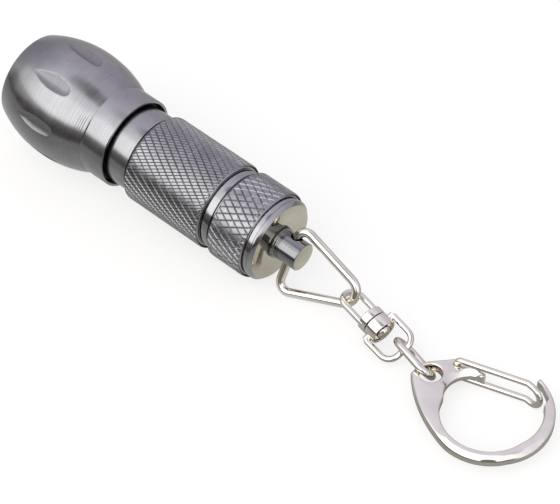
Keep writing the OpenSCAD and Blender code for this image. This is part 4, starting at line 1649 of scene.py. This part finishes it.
@dataclass
class Studio:
    """The camera, the pale floor, the soft box and the surroundings that the metal shows.

    Stations on the floor, and lengths whose names end in m, are metres.
    """

    from_front: Point3 = (214.331, -184.361, 251.072)
    forward: Point3 = (-0.45175, 0.52087, -0.72430)
    lens: float = 143.72
    film: float = 36.0
    nearest_m: float = 0.01
    floor_half_m: float = 0.9
    paper: str = "#969590"
    table: str = "#3a342f"
    paper_rough: float = 0.9
    paper_sheen: float = 0.1
    paper_edge: Point = (-0.04, -0.052)
    paper_lift: float = 0.72
    # What the metal sees of the floor's glow, darker towards the near and far sides and with a
    # painted shadow under the hardware: side, two stations and the level at each
    paper_glow_painted_shadow: tuple[tuple, ...] = (
        ("Y", -0.024, 0.004, 0.04, 0.48),
        ("Y", 0.016, 0.04, 1.0, 0.4),
        # Painted shadow: the glow falls to a fifth under the hardware, since emission takes no
        # shadow
        ("X", 0.006, 0.024, 1.0, 0.2),
    )
    box_way: Point3 = (-0.42, -0.73, 0.54)
    box_distance_m: float = 0.5
    box_size_m: Point = (0.9, 0.4)
    box_radiance: float = 0.35
    far_wall: Colour = (0.60, 0.565, 0.67, 1.0)
    far_top: Colour = (1.02, 0.98, 1.12, 1.0)
    near_glow: Colour = (1.72, 1.72, 1.74, 1.0)
    wall_span: Point = (0.95, 0.1)
    glow_span: Point = (0.1, -0.6)
    front_span: Point = (-0.5, -0.86)
    front_dim: float = 0.5
    gap_at: Point3 = (0.2, 0.02, 0.95)
    gap_size: Point3 = (0.55, 0.27, 1.0)
    gap_span: Point = (1.1, 0.55)
    gap: Colour = (0.36, 0.36, 0.38, 1.0)
    stand_at: Point3 = (0.62, -0.7, 0.28)
    stand_size: Point3 = (0.24, 0.24, 0.34)
    stand_span: Point = (1.05, 0.75)
    dark: Colour = (0.2, 0.185, 0.17, 1.0)
    dark_height: Point = (0.29, 0.17)
    dark_side: Point = (-0.1, -0.35)
    # A blend over a shorter span than this is smooth at both ends
    smooth_span: float = 0.5

    def camera(self, front: Vector) -> None:
        """Sets the camera up.

        Args:
            front: middle of the light's front rim.
        """
        data = bpy.data.cameras.new("camera")
        data.sensor_width = self.film
        data.lens = self.lens
        data.clip_start = self.nearest_m
        camera = placed("camera", data)
        camera.location = front + Vector(self.from_front) * MM
        camera.rotation_euler = Vector(self.forward).to_track_quat("-Z", "Y").to_euler()
        bpy.context.scene.camera = camera

    def seen(self, tree: bpy.types.NodeTree) -> bpy.types.NodeSocket:
        """Returns 1 for what the camera sees, straight or through glass, and else 0."""
        path = add(tree, "ShaderNodeLightPath").outputs
        rays = {0: path["Is Camera Ray"], 1: path["Is Transmission Ray"]}
        return add(tree, "ShaderNodeMath", rays, operation="MAXIMUM").outputs["Value"]

    def blended(
        self,
        tree: bpy.types.NodeTree,
        value: bpy.types.NodeSocket,
        span: Point,
        start: bpy.types.NodeSocket | Colour,
        end: bpy.types.NodeSocket | Colour,
    ) -> bpy.types.NodeSocket:
        """Turns one colour into another.

        Args:
            tree: node tree that it is done in.
            value: value that the colour follows.
            span: value at the first colour and at the last.
            start: first colour.
            end: last colour.

        Returns:
            The colour.
        """
        smooth = abs(span[1] - span[0]) < self.smooth_span
        ramp = add(
            tree,
            "ShaderNodeMapRange",
            {"Value": value, "From Min": span[0], "From Max": span[1]},
            interpolation_type="SMOOTHSTEP" if smooth else "LINEAR",
        )
        links = {"Factor": ramp.outputs["Result"], 6: start, 7: end}
        return add(tree, "ShaderNodeMix", links, data_type="RGBA").outputs[2]

    def floor(self) -> None:
        """Lays the floor, which shows white to the camera and keeps the shadow; to other rays it
        glows, with a painted shadow under the hardware.
        """
        h = self.floor_half_m
        mesh = bpy.data.meshes.new("floor")
        mesh.from_pydata([(-h, -h, 0), (h, -h, 0), (h, h, 0), (-h, h, 0)], [], [(0, 1, 2, 3)])
        made = bpy.data.materials.new("floor_paper")
        made.use_nodes = True
        tree = made.node_tree
        shader = tree.nodes["Principled BSDF"].inputs
        shader["Roughness"].default_value = self.paper_rough
        shader["Specular IOR Level"].default_value = self.paper_sheen
        shader["Emission Color"].default_value = WHITE
        spot = add(tree, "ShaderNodeTexCoord").outputs["Object"]
        parts = add(tree, "ShaderNodeSeparateXYZ", {"Vector": spot}).outputs
        ends = linear(self.paper), linear(self.table)
        tone = self.blended(tree, parts["Y"], self.paper_edge, *ends)
        ramps = []
        for side, *levels in (("Y", *self.paper_edge, self.paper_lift, 1.0), *self.paper_glow_painted_shadow):
            links = dict(zip(("From Min", "From Max", "To Min", "To Max"), levels))
            links["Value"] = parts[side]
            ramps.append(add(tree, "ShaderNodeMapRange", links))
        lift, *glows_painted_shadow = ramps
        lift.interpolation_type = "SMOOTHSTEP"
        under: bpy.types.NodeSocket | float = 1.0
        # Multiplying the glows dims the paper under the hardware: a painted shadow in what the
        # metal reflects
        for glow in glows_painted_shadow:
            links = {0: under, 1: glow.outputs["Result"]}
            under = add(tree, "ShaderNodeMath", links, operation="MULTIPLY").outputs["Value"]
        links = {0: self.seen(tree), 2: under, 3: lift.outputs["Result"]}
        strength = add(tree, "ShaderNodeMix", links).outputs[0]
        tree.links.new(tone, shader["Base Color"])
        tree.links.new(strength, shader["Emission Strength"])
        mesh.materials.append(made)
        placed("floor", mesh)

    def soft_box(self) -> None:
        """Hangs the soft box, whose power follows from its size and the brightness of its face."""
        width, height = self.box_size_m
        data = bpy.data.lights.new("soft_box", "AREA")
        data.shape = "RECTANGLE"
        data.size, data.size_y = width, height
        data.energy = self.box_radiance * math.pi * width * height
        lamp = placed("soft_box", data)
        back = Vector(self.box_way).normalized()
        side = (Vector((1, 0, 0)) - back.x * back).normalized()
        lamp.location = back * self.box_distance_m
        lamp.rotation_euler = Matrix((side, back.cross(side), back)).transposed().to_euler()

    def world(self) -> None:
        """Builds the surroundings: white to the camera, a studio with dark places to the metal."""
        world = bpy.data.worlds.new("studio")
        bpy.context.scene.world = world
        world.use_nodes = True
        tree = world.node_tree
        tree.nodes.clear()
        way = add(tree, "ShaderNodeTexCoord").outputs["Generated"]
        parts = add(tree, "ShaderNodeSeparateXYZ", {"Vector": way}).outputs
        sky = self.blended(tree, parts["Y"], self.wall_span, self.far_wall, self.far_top)
        sky = self.blended(tree, parts["Y"], self.glow_span, sky, self.near_glow)
        # Two dark patches, a gap overhead and a stand at the side
        for middle, size, span, colour in (
            (self.gap_at, self.gap_size, self.gap_span, self.gap),
            (self.stand_at, self.stand_size, self.stand_span, self.dark),
        ):
            away = way
            for operation, by in (("SUBTRACT", middle), ("DIVIDE", size)):
                moved = add(tree, "ShaderNodeVectorMath", {0: away, 1: by}, operation=operation)
                away = moved.outputs["Vector"]
            far = add(tree, "ShaderNodeVectorMath", {0: away}, operation="LENGTH")
            sky = self.blended(tree, far.outputs["Value"], span, sky, colour)
        # Dimmer in front of the light, and dark low down on the near side
        links = {"Value": parts["X"], "From Min": self.front_span[0], "To Min": 1.0}
        links |= {"From Max": self.front_span[1], "To Max": self.front_dim}
        front = add(tree, "ShaderNodeMapRange", links).outputs["Result"]
        links = {0: sky, "Scale": front}
        sky = add(tree, "ShaderNodeVectorMath", links, operation="SCALE").outputs["Vector"]
        level = self.blended(tree, parts["Z"], self.dark_height, sky, self.dark)
        studio = self.blended(tree, parts["Y"], self.dark_side, sky, level)
        links = {"Factor": self.seen(tree), 6: studio, 7: WHITE}
        shown = add(tree, "ShaderNodeMix", links, data_type="RGBA").outputs[2]
        glow = add(tree, "ShaderNodeBackground", {"Color": shown, "Strength": 1.0})
        add(tree, "ShaderNodeOutputWorld", {"Surface": glow.outputs["Background"]})

    def build(self, front: Vector) -> None:
        """Sets the whole studio up round the light's front rim."""
        self.camera(front)
        self.floor()
        self.world()
        self.soft_box()
        bpy.context.scene.view_settings.view_transform = "Standard"


@dataclass
class Inside:
    """The CAD nodes that are carried over, with the finish of each."""

    finishes: tuple[tuple[str, PlatedMetal | Moulded], ...] = (
        ("lens_gasket", RUBBER),
        ("lens", GLASS),
        ("reflector", MIRROR),
        ("led_holder", ACETAL),
        ("led", RESIN),
        ("led_board", BOARD),
        ("resistor", FILM),
        ("front_contact", BRASS),
        ("neck_seal", RUBBER),
        ("cell_sleeve", SLEEVE),
        ("button_cell_1", CELL),
        ("button_cell_2", CELL),
        ("button_cell_3", CELL),
        ("button_cell_4", CELL),
        ("tail_seal", RUBBER),
    )

    def dress(self, nodes: dict[str, bpy.types.Object]) -> None:
        """Gives each carried-over node its material.

        Args:
            nodes: CAD objects by name.
        """
        made: dict[str, bpy.types.Material] = {}
        for name, finish in self.finishes:
            if finish.name not in made:
                made[finish.name] = finish.material()
            slots = nodes[name].material_slots
            if not slots:
                nodes[name].data.materials.append(made[finish.name])
            for slot in slots:
                slot.material = made[finish.name]
            log.info("%s: CAD node in %s", name, finish.name)


def main() -> None:
    """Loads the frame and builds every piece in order."""
    logging.basicConfig(level=logging.INFO, format="%(name)s: %(message)s")
    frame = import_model()
    swivel, link, clip = Swivel(), OvalLink(), SnapClip()
    places = Places.from_record(frame["record"], swivel, link, clip)
    light = places.light
    Studio().build(light.to_translation())

    turnings = (BODY, FLUTE, KNURL, FACED_PAINTED_REFLECTION, CAP, POST)
    body, flute, knurled, faced_painted_reflection, polished, steel = (metal.material(light) for metal in turnings)
    maker, nickel = BarMaker(), NICKEL.material()

    alu = "anodised_aluminium"
    put("head_shell_turned", Head().build(), light, "head", "head_shell", alu, body, flute)
    barrel, cap = Barrel(), TailCap()
    put("barrel_turned", barrel.build(), light, "barrel", "barrel", alu, body)
    grip = barrel.grip.mesh("barrel_knurl", knurled)
    put("barrel_knurl", grip, light, "barrel", "barrel", alu)
    put("tail_cap_turned", cap.build(), light, "tail_cap", "tail_cap", alu, polished, faced_painted_reflection)
    grip = cap.grip.mesh("tail_cap_knurl", knurled)
    put("tail_cap_knurl", grip, light, "tail_cap", "tail_cap", alu)
    post, slot = LanyardPost().build(), "post_steel"
    # The steel post's end wears the tail face's finish: its warm tone there is painted reflection
    put("lanyard_post_turned", post, light, "tail_cap", "lanyard_post", slot, steel, faced_painted_reflection)
    spring = TailSpring()
    coil = spring.build(maker, SPRING.material())
    wound = put("tail_spring_wound", coil, light, "spring", "tail_spring", "spring_steel")
    spring.press(wound)

    plate = "nickel_plate"
    ring = TailRing().build(maker, nickel)
    put("tail_ring_bent", ring, places.ring, "ring", "tail_ring", plate)
    put("swivel_eye_cast", swivel.eye(maker, nickel), places.eye, "eye", "swivel_eye", plate)
    put("swivel_rivet_turned", swivel.rivet(), places.eye, "eye", "swivel_rivet", plate, nickel)
    put("swivel_bow_cast", swivel.bow(maker, nickel), places.bow, "bow", "swivel_bow", plate)
    put("oval_link_bent", link.build(maker, nickel), places.link, "link", "oval_link", plate)
    put("clip_frame_cast", clip.frame(), places.clip, "clip", "clip_frame", plate, nickel)
    put("clip_gate_bent", clip.gate(maker, nickel), places.clip, "gate", "clip_gate", plate)
    Inside().dress(frame["nodes"])


if __name__ == "__main__":
    main()
